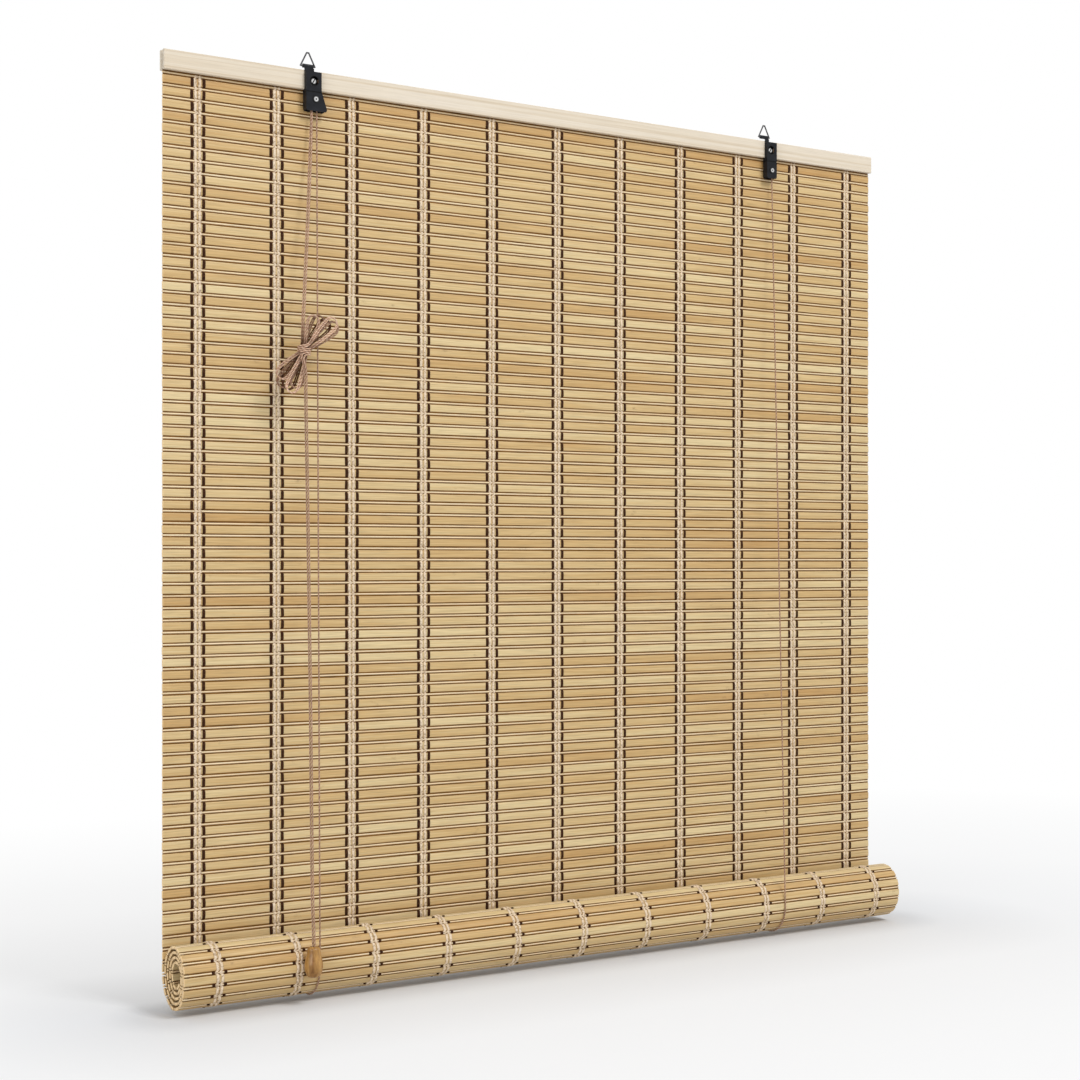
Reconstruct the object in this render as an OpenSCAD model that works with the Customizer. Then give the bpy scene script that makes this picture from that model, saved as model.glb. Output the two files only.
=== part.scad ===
// Bamboo roll-up blind, half rolled up, hung by two wire rings.
// The origin is the middle of the headrail's rear face.
// +X runs to the right seen from the front, +Y points to the wall, +Z is up.

/* [Headrail] */
// Length of the headrail and of every slat
rail_w = 800; // [640:10:1600]
// Height of the headrail
rail_h = 17; // [14:0.5:20]
// Thickness of each of the two laths that clamp the mat
lath_t = 4.2; // [3.8:0.1:8]
// Bevel along the laths' outer edges
lath_bevel = 0.6; // [0.2:0.1:1.2]
// Number of brads that hold the laths together
brad_count = 6; // [2:1:10]
// Diameter of a brad
brad_d = 1.2; // [0.8:0.1:1.6]

/* [Mat] */
// Distance from one wide slat to the next
slat_pitch = 10.3; // [9.6:0.1:11]
// Width of a wide slat
slat_h = 6.7; // [5:0.1:7]
// Thickness of a wide slat, which is also the slot between the laths
slat_t = 1.6; // [1.6:0.1:2]
// Diameter of the thin stick between two wide slats
stick_d = 1.6; // [1.2:0.1:1.6]
// Thickness of the thread web that joins the slats
web_t = 0.5; // [0.3:0.1:0.8]
// Rows of slats that hang between the headrail and the roll
hang_rows = 74; // [40:1:110]

/* [Warp threads] */
// Number of warp columns
warp_count = 11; // [5:1:15]
// Distance from the slat ends to the outer columns
warp_edge = 32; // [20:1:60]
// Width of the pale chain in the middle of a column
cream_w = 7.4; // [4:0.1:9]
// Width of the dark thread on each side of the chain
dark_w = 2.6; // [1:0.1:3]
// Thickness of the threads on the face of the mat
thread_t = 0.8; // [0.4:0.1:1.2]

/* [Roll] */
// Upright radius of the outer turn, at the middle of the mat
roll_r = 28.2; // [24:0.1:40]
// Depth of the roll over its height, since it sags in its cords
roll_flat = 0.86; // [0.8:0.01:1]
// Distance from one turn to the next
turn_step = 4.2; // [3.6:0.1:6]
// Upright radius of the open core
core_r = 9.3; // [8:0.1:14]

/* [Brackets] */
// Distance of the cord lock from the middle of the blind
lock_x = 262.3; // [200:0.5:280]
// Distance of the guide bracket from the middle of the blind
guide_x = 259.3; // [200:0.5:280]
// Thickness of the bracket sheet
sheet_t = 0.8; // [0.6:0.1:1]
// Depth of the brackets in front of the headrail
bracket_d = 4; // [4:0.1:5]
// Width of the cord lock at the headrail
lock_w = 15; // [15:0.5:20]
// Extra width of the cord lock at its lower edge
lock_flare = 6; // [3:0.5:10]
// Reach of the cord lock below the headrail
lock_drop = 19; // [18:0.5:26]
// Width of the cord lock's neck
lock_neck_w = 9.2; // [6:0.1:9.4]
// Width of the guide bracket
guide_w = 12.8; // [12.8:0.1:16]
// Reach of the guide bracket below the headrail
guide_drop = 21.5; // [20:0.5:28]
// Width of the guide bracket's neck
guide_neck_w = 5; // [4:0.1:5.2]
// Corner radius of the bracket sheets
corner_r = 2; // [0.5:0.1:3]

/* [Rings] */
// Width of a hanging ring over its wire
ring_w = 15.4; // [15.4:0.1:20]
// Height of a hanging ring above the axis of its lower wire
ring_h = 12.5; // [12:0.1:20]
// Length of a hanging ring's blunt tip between its corners
tip_w = 2; // [1.6:0.1:4]
// Diameter of the ring wire
wire_d = 1.4; // [1:0.1:1.6]
// Length of the rolled sheet that holds a ring
curl_l = 9.6; // [7:0.1:9.6]
// Height of the ring's lower wire above the headrail
curl_lift = 3.8; // [3.4:0.1:7]

/* [Fasteners and rollers] */
// Diameter of the screw heads
screw_head_d = 5.2; // [4:0.1:5.6]
// Height of the screw heads
screw_head_h = 1.6; // [1.2:0.1:2]
// Diameter of the screw shanks
screw_d = 2.8; // [2:0.1:3.2]
// Diameter of the screwdriver hole in the brackets
access_d = 8; // [6:0.1:8]
// Diameter of the rivet heads
rivet_head_d = 5.3; // [4:0.1:6]
// Diameter of the rivet shanks
rivet_d = 2.2; // [1.8:0.1:2.4]
// Diameter of the drum on which the cords run
drum_d = 3.4; // [3.2:0.1:3.4]
// Diameter of the roller flanges
flange_d = 6.6; // [5.6:0.1:6.8]

/* [Pull] */
// Diameter of the cords
cord_d = 1.5; // [1.2:0.1:1.5]
// Largest diameter of the wooden knob
knob_d = 16; // [14:0.5:16]
// Height of the wooden knob
knob_h = 26; // [22:0.5:36]
// Length of the tied hank
hank_l = 82; // [60:1:90]
// Width of the hank's loops
hank_w = 22; // [16:1:26]
// Depth of the hank
hank_t = 9; // [6:0.5:9]

/* [Hidden] */
$fn = 48;
cut = 1;

// Headrail and mat
rail_top = rail_h / 2;
rail_bottom = -rail_h / 2;
rail_d = 2 * lath_t + slat_t;
front_y = -rail_d;
mat_y = -rail_d / 2;
brad_inset = 30;
brad_sunk = 0.5;
brad_bite = 2.7;
hole_gap = 0.05;
slat_gap = (slat_pitch - slat_h - stick_d) / 2;
slot_rim = 0.15;
octagon_turn = 22.5;
brad_z = rail_bottom + slat_h / 2;
notch_d = 3.2;
head_top = rail_top - notch_d - 0.3;

// Roll: angle 0 is its rearmost point, then it goes under and up the front
roll_y = mat_y - roll_flat * roll_r;
roll_z = rail_bottom - hang_rows * slat_pitch;
roll_end = 360 * (roll_r - core_r) / turn_step;

// Warp threads
thread_gap = 0.1;
seat = max(slat_t, stick_d) / 2 + thread_gap;
warp_step = (rail_w - 2 * warp_edge) / (warp_count - 1);
warp_xs = [for (i = [0:warp_count - 1]) -rail_w / 2 + warp_edge + i * warp_step];
band_end = 330;
// Place between two warp columns, a given share of the way past the column to the left of x
function between_warps(x, share) = warp_xs[floor((x - warp_xs[0]) / warp_step)] + share * warp_step;

// Brackets
rivet_tail_t = 0.6;
lock_left = -lock_x - lock_w / 2;
guide_left = guide_x - guide_w / 2;
lock_screw_x = lock_left + 8;
lock_rivet_x = lock_left + 9.4;
lock_rivet_z = rail_bottom - 8.5;
guide_screw_x = guide_left + 5.6;
screw_z = rail_bottom + 7.5;
guide_rivet_x = guide_left + 6.6;
guide_rivet_z = rail_bottom - 13.3;
strap_y = front_y - sheet_t;
plate_y = front_y - bracket_d;
shelf_z = rail_bottom - 0.3 - sheet_t;
mat_clear = 0.2;
box_back = mat_y - seat - thread_t - mat_clear - rivet_tail_t;
box_in = box_back - sheet_t;
channel_d = box_in - plate_y - sheet_t;
strap_top = rail_top - 3.9;
plate_top = rail_top - 1.5;
lock_crease_z = rail_bottom - 2.3;
guide_crease_z = rail_bottom - 4.2;
crease_h = 1.1;
crease_d = 0.4;
lock_curl_x = lock_left + lock_neck_w / 2 - 0.85;
guide_curl_x = guide_left + guide_neck_w / 2 - 2.8;

// Curl and ring
ring_gap = 0.3;
ring_corner = 0.04;
curl_in = wire_d / 2 + ring_gap;
curl_out = curl_in + sheet_t;
curl_y = strap_y + curl_out;
curl_z = rail_top + curl_lift;

// Screws, rivets and rollers
screw_l = rail_d - 1.5;
screw_tip = 2.5;
slot_w = 0.7;
slot_d = 0.8;
rivet_head_t = 0.7;
rivet_tail_d = 4;
rivet_hole_d = 1.4;
run_gap = 0.05;
side_gap = 0.15;
flange_t = 0.3;

// Pawl of the cord lock: it hangs on its pin beside the pull cords
pawl_pin_x = lock_left + 3.4;
pawl_pin_z = rail_bottom - 4;
pawl_pin_d = 1.6;
pawl_hub_r = 1.7;
pawl_side_gap = 0.4;
pawl_clear = 0.4;
tooth_d = 0.6;
tooth_h = 1;
tooth_count = 3;

// Cords on the drums
cord_gap = 0.3;
drum_run = drum_d / 2 + cord_gap + cord_d / 2;
drum_y = (box_back + plate_y) / 2;
lane = (cord_d + cord_gap) / 2;
front_lane = drum_y - lane;
rear_lane = drum_y + lane;
climb_y = (strap_y + plate_y + sheet_t) / 2;
lock_cord_x = lock_rivet_x - drum_run;
lock_end_z = rail_bottom - lock_drop;

// Notches that take the cord over the front lath, and the cord in the slot between the laths
notch_w = 5.6;
lock_notch_x = lock_left + lock_neck_w + 0.1;
guide_notch_x = guide_left + guide_neck_w + 0.1;
run_z = rail_top - notch_d + cord_d / 2 + 0.05;

// Lift cords on the roll and behind the mat
roll_cord_gap = 0.2;
lift_out = slat_t / 2 + roll_cord_gap + cord_d / 2;
lift_top = 184;
lift_step = 15.3333;
lift_clear = 8;
left_lift_x = min(between_warps(lock_left, 1 / 4), lock_screw_x - lift_clear);
right_lift_x = min(between_warps(guide_left, 0.31), guide_screw_x - lift_clear);
groove_l = 10;
groove_w = cord_d + 0.2;
lift_back_y = mat_y + lift_out;

// Pull cord: points chosen along the hanging run, hank and knob
upper_pull = [[-265, -12.5, -60], [-269, -16.5, -110], [-274, -21.5, -165], [-278.6, -26.5, -215],
    [-278.8, -31, -238.5]];
lower_pull = [[-278.8, -31, -242.5], [-281.2, -33, -272], [-282, -38, -340], [-282.5, -43.5, -430],
    [-283.5, -50, -540], [-285, -55.5, -650], [-286, -59, -715], [-286, -61.5, -743]];
pull_start = 4;
hank_mid = [-278.8, -31, -240.5];
hank_lean = 39;
hank_bend = 10;
hank_waist = 3.5;
knob_at = [-286, -61.5, -778];
knob_bore_d = 3.8;
knot_d = 6;
knot_h = 5;
knot_seat = 6.5;

// Helpers

function unit(v) = v / norm(v);
function reversed(list) = [for (i = [len(list) - 1:-1:0]) list[i]];

// Corner p between its neighbours a and b, as a round of the given radius
function round_corner(a, p, b, radius, steps = 6) =
    let (u = unit(a - p), v = unit(b - p), half = acos(u * v) / 2,
        middle = p + unit(u + v) * radius / sin(half),
        first = p + u * radius / tan(half) - middle,
        last = p + v * radius / tan(half) - middle)
    [for (i = [0:steps]) middle + radius * unit(first * (steps - i) + last * i)];

// Closed outline whose corners are rounded by the radius given for each
function round_outline(points, radii) = let (n = len(points))
    [for (i = [0:n - 1]) each radii[i] > 0
        ? round_corner(points[(i + n - 1) % n], points[i], points[(i + 1) % n], radii[i])
        : [points[i]]];

// Stand a profile of Y and Z along X, centred on x
module along_x(length, x = 0) {
    translate([x - length / 2, 0, 0])
        rotate([90, 0, 90])
            linear_extrude(length)
                children();
}

// Stand a profile of X and Z along -Y, from y
module along_y(depth, y) {
    translate([0, y, 0])
        rotate([90, 0, 0])
            linear_extrude(depth)
                children();
}

// Round bar or hole along -Y, from y
module bar_y(d, length, x, y, z) {
    translate([x, y, z])
        rotate([90, 0, 0])
            cylinder(d = d, h = length);
}

// Tube of 8 sides along a list of points, with a side direction carried from ring to ring
function heading(path, i) = unit(path[min(i + 1, len(path) - 1)] - path[max(i - 1, 0)]);
function squared(side, dir) = unit(side - (side * dir) * dir);
function carried(path) =
    [for (i = 0, s = squared([0.6, 0.8, 0.1], heading(path, 0)); i < len(path);
        i = i + 1, s = i < len(path) ? squared(s, heading(path, i)) : s) s];

module cord_tube(path) {
    ring_sides = 8;
    turn = 360 / ring_sides;
    sides = carried(path);
    points = [for (i = [0:len(path) - 1]) let (s = sides[i], up = cross(heading(path, i), s))
        for (k = [0:ring_sides - 1])
            path[i] + cord_d / 2 * (cos((k + 0.5) * turn) * s + sin((k + 0.5) * turn) * up)];
    walls = [for (i = [0:len(path) - 2], k = [0:ring_sides - 1])
        let (a = i * ring_sides, b = a + ring_sides, next = (k + 1) % ring_sides)
        [a + k, b + k, b + next, a + next]];
    first = [for (k = [0:ring_sides - 1]) k];
    last = [for (k = [ring_sides - 1:-1:0]) (len(path) - 1) * ring_sides + k];
    polyhedron(points, concat([first], walls, [last]), convexity = 4);
}

// Woven mat: thin stick, gap and wide slat in each row, along a straight or a rolled path

function spiral_r(angle) = roll_r - turn_step * angle / 360;
function spiral_point(angle, out = 0) =
    let (r = spiral_r(angle), side = unit([cos(angle), -sin(angle) * roll_flat]))
    [roll_y, roll_z] + [roll_flat * r * cos(angle), -r * sin(angle)] + out * side;
function spiral_speed(angle) =
    let (r = spiral_r(angle)) r * norm([roll_flat * sin(angle), cos(angle)]) * PI / 180;
row_angles = [for (a = 0; a < roll_end; a = a + slat_pitch / spiral_speed(a)) a];
roll_rows = len(row_angles) - 1;

function mat_point(rolled, row, down) = rolled
    ? spiral_point(row_angles[row] + (row_angles[row + 1] - row_angles[row]) * down / slat_pitch)
    : [mat_y, rail_bottom - row * slat_pitch - down];

function across(a, b) = let (t = unit(b - a)) [-t[1], t[0]];

// Half an octagon for the stick and half a rectangle for the slat, on the outer (1) or inner (-1) face
function row_side(rolled, row, face) =
    let (above = mat_point(rolled, row, slat_gap), below = mat_point(rolled, row, slat_gap + stick_d),
        start = mat_point(rolled, row, slat_pitch - slat_h), end = mat_point(rolled, row, slat_pitch),
        stick = (above + below) / 2, t = unit(below - above), n = face * across(above, below),
        m = face * across(start, end), near = cos(octagon_turn) * stick_d / 2,
        far = sin(octagon_turn) * stick_d / 2)
    [stick - near * t + far * n, stick - far * t + near * n, stick + far * t + near * n,
        stick + near * t + far * n, start + web_t / 2 * m, start + slat_t / 2 * m,
        end + slat_t / 2 * m, end + web_t / 2 * m];

function web_end(rolled, face) = [mat_y + face * web_t / 2, rolled ? roll_z : rail_bottom];

// Slat at the top of the mat, which the laths clamp
function head(face) = [[mat_y + face * slat_t / 2, head_top], [mat_y + face * slat_t / 2, rail_bottom]];

function weave_side(rolled, rows, face) = concat(rolled ? [] : head(face), [web_end(rolled, face)],
    [for (row = [0:rows - 1]) each row_side(rolled, row, face)]);

module weave(rolled, rows) {
    along_x(rail_w)
        polygon(concat(weave_side(rolled, rows, 1), reversed(weave_side(rolled, rows, -1))));
}

// Screw and brad holes through the headrail
module rail_holes() {
    for (x = [lock_screw_x, guide_screw_x])
        bar_y(screw_d + 2 * hole_gap, screw_l + cut, x, front_y + screw_l, screw_z);
    for (i = [0:brad_count - 1]) {
        x = -rail_w / 2 + brad_inset + i * (rail_w - 2 * brad_inset) / (brad_count - 1);
        bar_y(brad_d + 2 * hole_gap, rail_d - brad_bite, x, 0, brad_z);
    }
}

module lath(y) {
    along_x(rail_w)
        translate([y, rail_bottom])
            polygon([[0, lath_bevel], [lath_bevel, 0], [lath_t - lath_bevel, 0], [lath_t, lath_bevel],
                [lath_t, rail_h - lath_bevel], [lath_t - lath_bevel, rail_h], [lath_bevel, rail_h],
                [0, rail_h - lath_bevel]]);
}

module front_lath() {
    color("wheat")
        difference() {
            lath(front_y);
            rail_holes();
            for (x = [lock_notch_x, guide_notch_x])
                translate([x, front_y - cut, rail_top - notch_d])
                    cube([notch_w, lath_t + 2 * cut, notch_d + cut]);
        }
}

module rear_lath() {
    color("wheat")
        difference() {
            lath(-lath_t);
            rail_holes();
            for (x = [left_lift_x, right_lift_x])
                translate([x - groove_w / 2, -lath_t - cut, rail_bottom - cut])
                    cube([groove_w, lift_back_y + groove_w / 2 + lath_t + cut, groove_l + cut]);
        }
}

module lath_brads() {
    color("silver")
        for (i = [0:brad_count - 1]) {
            x = -rail_w / 2 + brad_inset + i * (rail_w - 2 * brad_inset) / (brad_count - 1);
            bar_y(brad_d, rail_d - brad_sunk - brad_bite, x, -brad_sunk, brad_z);
        }
}

module hanging_mat() {
    color("tan")
        difference() {
            weave(false, hang_rows);
            rail_holes();
            for (row = [1:hang_rows]) {
                slat_top = rail_bottom - row * slat_pitch + slat_h;
                translate([warp_edge - rail_w / 2, mat_y - slat_t, slat_top + slot_rim])
                    cube([rail_w - 2 * warp_edge, 2 * slat_t, slat_gap - 2 * slot_rim]);
            }
        }
}

module mat_roll() {
    color("peru")
        weave(true, roll_rows);
}

// Face of the mat's threads at each slat's two ends, a given distance out, along the back and round the roll
band_rows = len([for (a = row_angles) if (a < band_end) a]);
function band_line(out) = concat([[mat_y + out, rail_bottom], [mat_y + out, roll_z]],
    [for (row = [0:band_rows - 1])
        let (a = mat_point(true, row, slat_pitch - slat_h), b = mat_point(true, row, slat_pitch))
        each [a + out * across(a, b), b + out * across(a, b)]]);

module cream_warps() {
    color("cornsilk")
        for (x = warp_xs) {
            translate([x - cream_w / 2, mat_y - seat - thread_t, roll_z])
                cube([cream_w, thread_t, rail_bottom - roll_z]);
            along_x(cream_w, x)
                polygon(concat(band_line(seat), reversed(band_line(seat + thread_t))));
        }
}

module dark_warps() {
    color("saddlebrown")
        for (x = warp_xs, side = [-1, 1])
            translate([x + side * (cream_w + dark_w) / 2 - dark_w / 2, mat_y - seat - thread_t, roll_z])
                cube([dark_w, thread_t, rail_bottom - roll_z]);
}

// Bracket sheets: the strap on the headrail with its neck and curl, and the housing in front of it

function box_outline(w, flare, drop, top) = round_outline(
    [[0, rail_bottom - drop], [w + flare, rail_bottom - drop], [w, shelf_z], [w, top], [0, top]],
    [corner_r, corner_r, 0, 0, 0]);

// Profile of the curl: three quarters of a sheet ring, open in front below
module curl_profile() {
    difference() {
        translate([curl_y, curl_z])
            circle(r = curl_out);
        translate([curl_y, curl_z])
            circle(r = curl_in);
        translate([curl_y - 2 * curl_out, curl_z - 2 * curl_out])
            square(2 * curl_out);
    }
    translate([strap_y, curl_z - curl_out])
        square([sheet_t, curl_out]);
}

// The strap lies on the front lath, steps back under it and closes the box behind the roller
module strap(left, w, flare, drop, neck_w, curl_x, screw_x, rivet_x, rivet_z) {
    difference() {
        translate([left, 0, 0]) {
            along_y(sheet_t, front_y)
                polygon([[0, shelf_z], [w, shelf_z], [w, strap_top], [neck_w, strap_top],
                    [neck_w, curl_z - curl_out], [0, curl_z - curl_out]]);
            translate([0, strap_y, shelf_z])
                cube([w, box_back - strap_y, sheet_t]);
            along_y(sheet_t, box_back)
                polygon(box_outline(w, flare, drop, shelf_z + sheet_t));
        }
        bar_y(screw_d + 2 * hole_gap, 2 * sheet_t, screw_x, front_y + sheet_t / 2, screw_z);
        bar_y(rivet_d + 2 * hole_gap, 2 * sheet_t, rivet_x, box_back + sheet_t / 2, rivet_z);
    }
    along_x(curl_l, curl_x)
        curl_profile();
}

// The housing is shallow on the front lath and deep below it, with a crease pressed across its front
module housing(left, w, flare, drop, screw_x, rivet_x, rivet_z, crease_z) {
    lean = sheet_t * norm([flare, drop]) / drop;
    low = rail_bottom - drop - cut;
    difference() {
        translate([left, 0, 0]) {
            along_y(strap_y - plate_y, strap_y)
                polygon(box_outline(w, flare, drop, plate_top));
            along_y(box_in - plate_y, box_in)
                polygon(round_outline([[0, rail_bottom - drop], [w + flare, rail_bottom - drop],
                    [w, shelf_z], [0, shelf_z]], [corner_r, corner_r, 0, 0]));
        }
        translate([left, 0, 0])
            along_y(box_back - plate_y - sheet_t, box_back)
                polygon([[sheet_t, low], [w + flare - lean, low], [w + flare - lean, low + cut],
                    [w - lean, shelf_z], [w - lean, rail_top + cut], [sheet_t, rail_top + cut]]);
        bar_y(access_d, 2 * sheet_t, screw_x, plate_y + 1.5 * sheet_t, screw_z);
        bar_y(rivet_d + 2 * hole_gap, 2 * sheet_t, rivet_x, plate_y + 1.5 * sheet_t, rivet_z);
        translate([left - cut, plate_y - cut, crease_z - crease_h / 2])
            cube([w + flare + 2 * cut, crease_d + cut, crease_h]);
    }
}

// Roller with one wide drum for two cords side by side
module roller(x, z) {
    width = channel_d - 2 * side_gap;
    translate([x, box_in - side_gap, z])
        rotate([90, 0, 0])
            difference() {
                cylinder(d = flange_d, h = width);
                translate([0, 0, flange_t])
                    difference() {
                        cylinder(d = flange_d + cut, h = width - 2 * flange_t);
                        translate([0, 0, -cut])
                            cylinder(d = drum_d, h = width + 2 * cut);
                    }
                translate([0, 0, -cut])
                    cylinder(d = rivet_d + 2 * run_gap, h = width + 2 * cut);
            }
}

// Tubular rivet, with its head on the housing and its tail turned over behind the strap
module rivet(x, z) {
    difference() {
        union() {
            bar_y(rivet_head_d, rivet_head_t, x, plate_y, z);
            bar_y(rivet_d, box_back - plate_y, x, box_back, z);
            bar_y(rivet_tail_d, rivet_tail_t, x, box_back + rivet_tail_t, z);
        }
        bar_y(rivet_hole_d, channel_d, x, drum_y, z);
    }
}

// Slotted wood screw through the strap, the front lath, the mat and into the rear lath
module screw(x) {
    difference() {
        bar_y(screw_head_d, screw_head_h, x, strap_y, screw_z);
        translate([x, strap_y - screw_head_h, screw_z])
            rotate([0, 30, 0])
                cube([slot_w, 2 * slot_d, screw_head_d + cut], center = true);
    }
    bar_y(screw_d, screw_l + sheet_t - screw_tip, x, front_y + screw_l - screw_tip, screw_z);
    translate([x, front_y + screw_l - screw_tip, screw_z])
        rotate([-90, 0, 0])
            cylinder(d1 = screw_d, d2 = screw_d / 4, h = screw_tip);
}

// Triangular wire ring with a blunt tip, standing on the curl's axis: straight wires between corner balls,
// each ball turned so that its poles and seam lie off the wires
module ring(x) {
    corner = wire_d / 2 + ring_corner;
    middle = [0, ring_h / 3];
    corners = [[-ring_w / 2 + corner, 0], [ring_w / 2 - corner, 0],
        [tip_w / 2, ring_h - corner], [-tip_w / 2, ring_h - corner]];
    translate([x, curl_y, curl_z])
        rotate([90, 0, 0])
            for (i = [0:3]) {
                side = corners[(i + 1) % 4] - corners[i];
                out = corners[i] - middle;
                translate(corners[i]) {
                    rotate([0, 0, atan2(out[1], out[0])])
                        sphere(r = corner);
                    rotate([0, 90, atan2(side[1], side[0])])
                        cylinder(d = wire_d, h = norm(side));
                }
            }
}

module lock_strap() {
    color("dimgray")
        strap(lock_left, lock_w, lock_flare, lock_drop, lock_neck_w, lock_curl_x,
            lock_screw_x, lock_rivet_x, lock_rivet_z);
}

module lock_housing() {
    color("dimgray")
        housing(lock_left, lock_w, lock_flare, lock_drop, lock_screw_x, lock_rivet_x, lock_rivet_z,
            lock_crease_z);
}

module lock_roller() {
    color("gray")
        roller(lock_rivet_x, lock_rivet_z);
}

module lock_rivet() {
    color("silver")
        rivet(lock_rivet_x, lock_rivet_z);
}

// Toothed pawl: a hub on the pin and a nose with teeth towards the pull cords
module lock_pawl() {
    reach = lock_cord_x - cord_d / 2 - pawl_clear - pawl_pin_x;
    low = lock_rivet_z - pawl_pin_z - tooth_h / 2;
    teeth = [for (i = [0:tooth_count - 1])
        each [[reach - tooth_d, low + i * tooth_h], [reach, low + (i + 0.7) * tooth_h]]];
    thick = channel_d - 2 * pawl_side_gap;
    color("gray")
        translate([pawl_pin_x, 0, pawl_pin_z])
            along_y(thick, box_in - pawl_side_gap)
                difference() {
                    union() {
                        circle(r = pawl_hub_r);
                        polygon(concat([[-pawl_hub_r / 2, 0], [reach - 3 * tooth_d, low]], teeth,
                            [[reach - tooth_d, low + tooth_count * tooth_h], [pawl_hub_r / 2, 0]]));
                    }
                    circle(d = pawl_pin_d + 2 * run_gap);
                }
}

module lock_pawl_pin() {
    color("silver")
        bar_y(pawl_pin_d, channel_d, pawl_pin_x, box_in, pawl_pin_z);
}

module lock_screw() {
    color("silver")
        screw(lock_screw_x);
}

module left_ring() {
    color("gray")
        ring(lock_curl_x);
}

module guide_strap() {
    color("dimgray")
        strap(guide_left, guide_w, 0, guide_drop, guide_neck_w, guide_curl_x,
            guide_screw_x, guide_rivet_x, guide_rivet_z);
}

module guide_housing() {
    color("dimgray")
        housing(guide_left, guide_w, 0, guide_drop, guide_screw_x, guide_rivet_x, guide_rivet_z,
            guide_crease_z);
}

module guide_roller() {
    color("gray")
        roller(guide_rivet_x, guide_rivet_z);
}

module guide_rivet() {
    color("silver")
        rivet(guide_rivet_x, guide_rivet_z);
}

module guide_screw() {
    color("silver")
        screw(guide_screw_x);
}

module right_ring() {
    color("gray")
        ring(guide_curl_x);
}

// Lift cords: down the front, under the roll and up behind the mat to a groove in the rear lath

function under_roll(x) = [for (a = [lift_top:-lift_step:0])
    let (p = spiral_point(a, lift_out)) [x, p[0], p[1]]];
function up_the_back(x) = [[x, lift_back_y, rail_bottom + groove_l - 0.5]];

// Over the lock's roller from the pull side to the lift side
over_drum = [for (a = [180:-30:0])
    [lock_rivet_x + drum_run * cos(a), rear_lane, lock_rivet_z + drum_run * sin(a)]];

module left_lift_cord() {
    path = concat([[lock_cord_x, rear_lane, lock_end_z]], over_drum,
        under_roll(left_lift_x), up_the_back(left_lift_x));
    color("rosybrown")
        cord_tube(path);
}

// From the lock, up its channel, along the slot between the laths and down through the guide
lock_climb = [[lock_cord_x + 0.2, front_lane, lock_rivet_z + 1.4],
    [lock_cord_x + 1.2, front_lane, lock_rivet_z + 2.7],
    for (p = [[10.2, climb_y, rail_bottom - 1], [11.4, climb_y, rail_bottom + 3], [11.8, climb_y, 1],
        [11.8, climb_y + 0.1, run_z - 1.9], [11.8, climb_y + 0.6, run_z - 0.6],
        [11.8, climb_y + 1.6, run_z + 0.05], [11.8, climb_y + 2.8, run_z],
        [11.9, mat_y - 2.6, run_z], [12.9, mat_y - 0.9, run_z], [14.6, mat_y, run_z],
        [17, mat_y, run_z]]) p + [lock_left, 0, 0]];
guide_climb = [for (p = [[3.4, mat_y, run_z], [6, mat_y, run_z], [7.8, mat_y - 0.8, run_z],
    [8.8, mat_y - 2.4, run_z], [9.1, climb_y + 2.8, run_z], [9.2, climb_y + 1.6, run_z + 0.05],
    [9.2, climb_y + 0.6, run_z - 0.6], [9.3, climb_y + 0.1, run_z - 1.9], [9.3, climb_y, 1],
    [9.3, climb_y, rail_bottom - 1]]) p + [guide_left, 0, 0]];

module right_lift_cord() {
    path = concat([[lock_cord_x, front_lane, lock_end_z], [lock_cord_x, front_lane, lock_rivet_z]],
        lock_climb, guide_climb, [[guide_rivet_x + drum_run, rear_lane, guide_rivet_z]],
        under_roll(right_lift_x), up_the_back(right_lift_x));
    color("rosybrown")
        cord_tube(path);
}

// Pull cord: two strands from the lock into the hank, and on to the knot in the knob

function behind(points, shift) = [for (p = points) p + [0, shift, 0]];
knot_top = knob_at + [0, 0, knot_seat];
pull_exit = [[lock_cord_x, drum_y, lock_end_z], [lock_cord_x, drum_y, lock_end_z - pull_start]];

module pull_cord() {
    color("rosybrown")
        for (strand = [-lane, lane]) {
            cord_tube(behind(concat(pull_exit, upper_pull), strand));
            cord_tube(behind(concat(lower_pull, [knot_top]), strand));
        }
}

// Hank of spare cord: two loops drawn in by a tie in the middle, the upper one leaning further over
module cord_hank() {
    bulge = 4.22 * (hank_w / 2 - hank_waist / 2);
    outline = [for (a = [0:9:351])
        let (lean = hank_lean + hank_bend * cos(a), z = hank_l / 2 * cos(a),
            x = (hank_waist + (bulge - hank_waist) * pow(cos(a), 2) / 1.6) * sin(a) * 0.9)
            [x * cos(lean) + z * sin(lean), z * cos(lean) - x * sin(lean)]];
    color("rosybrown")
        translate(hank_mid)
            along_y(hank_t, hank_t / 2)
                polygon(outline);
}

// Turned knob: a narrow neck that swells to a round belly, bored for the cord and its knot
module pull_knob() {
    belly = knob_d / 2;
    neck = 0.72 * belly;
    swell = 0.38 * knob_h;
    crown = 0.88 * knob_h;
    profile = concat(
        [for (a = [0:15:90]) [belly * (0.45 + 0.55 * sin(a)), swell * (1 - cos(a))]],
        [for (a = [20:20:180])
            [(belly + neck) / 2 + (belly - neck) / 2 * cos(a), swell + (crown - swell) * a / 180]],
        [for (a = [22.5:22.5:90])
            [neck - (knob_h - crown) * (1 - cos(a)), crown + (knob_h - crown) * sin(a)]]);
    color("peru")
        translate(knob_at)
            difference() {
                rotate_extrude()
                    polygon(concat([[0, 0]], profile, [[0, knob_h]]));
                translate([0, 0, -cut])
                    cylinder(d = knob_bore_d, h = knob_h + 2 * cut);
                translate([0, 0, -cut])
                    cylinder(d = knot_d + 2 * cord_gap, h = knot_seat + cut);
            }
}

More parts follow.
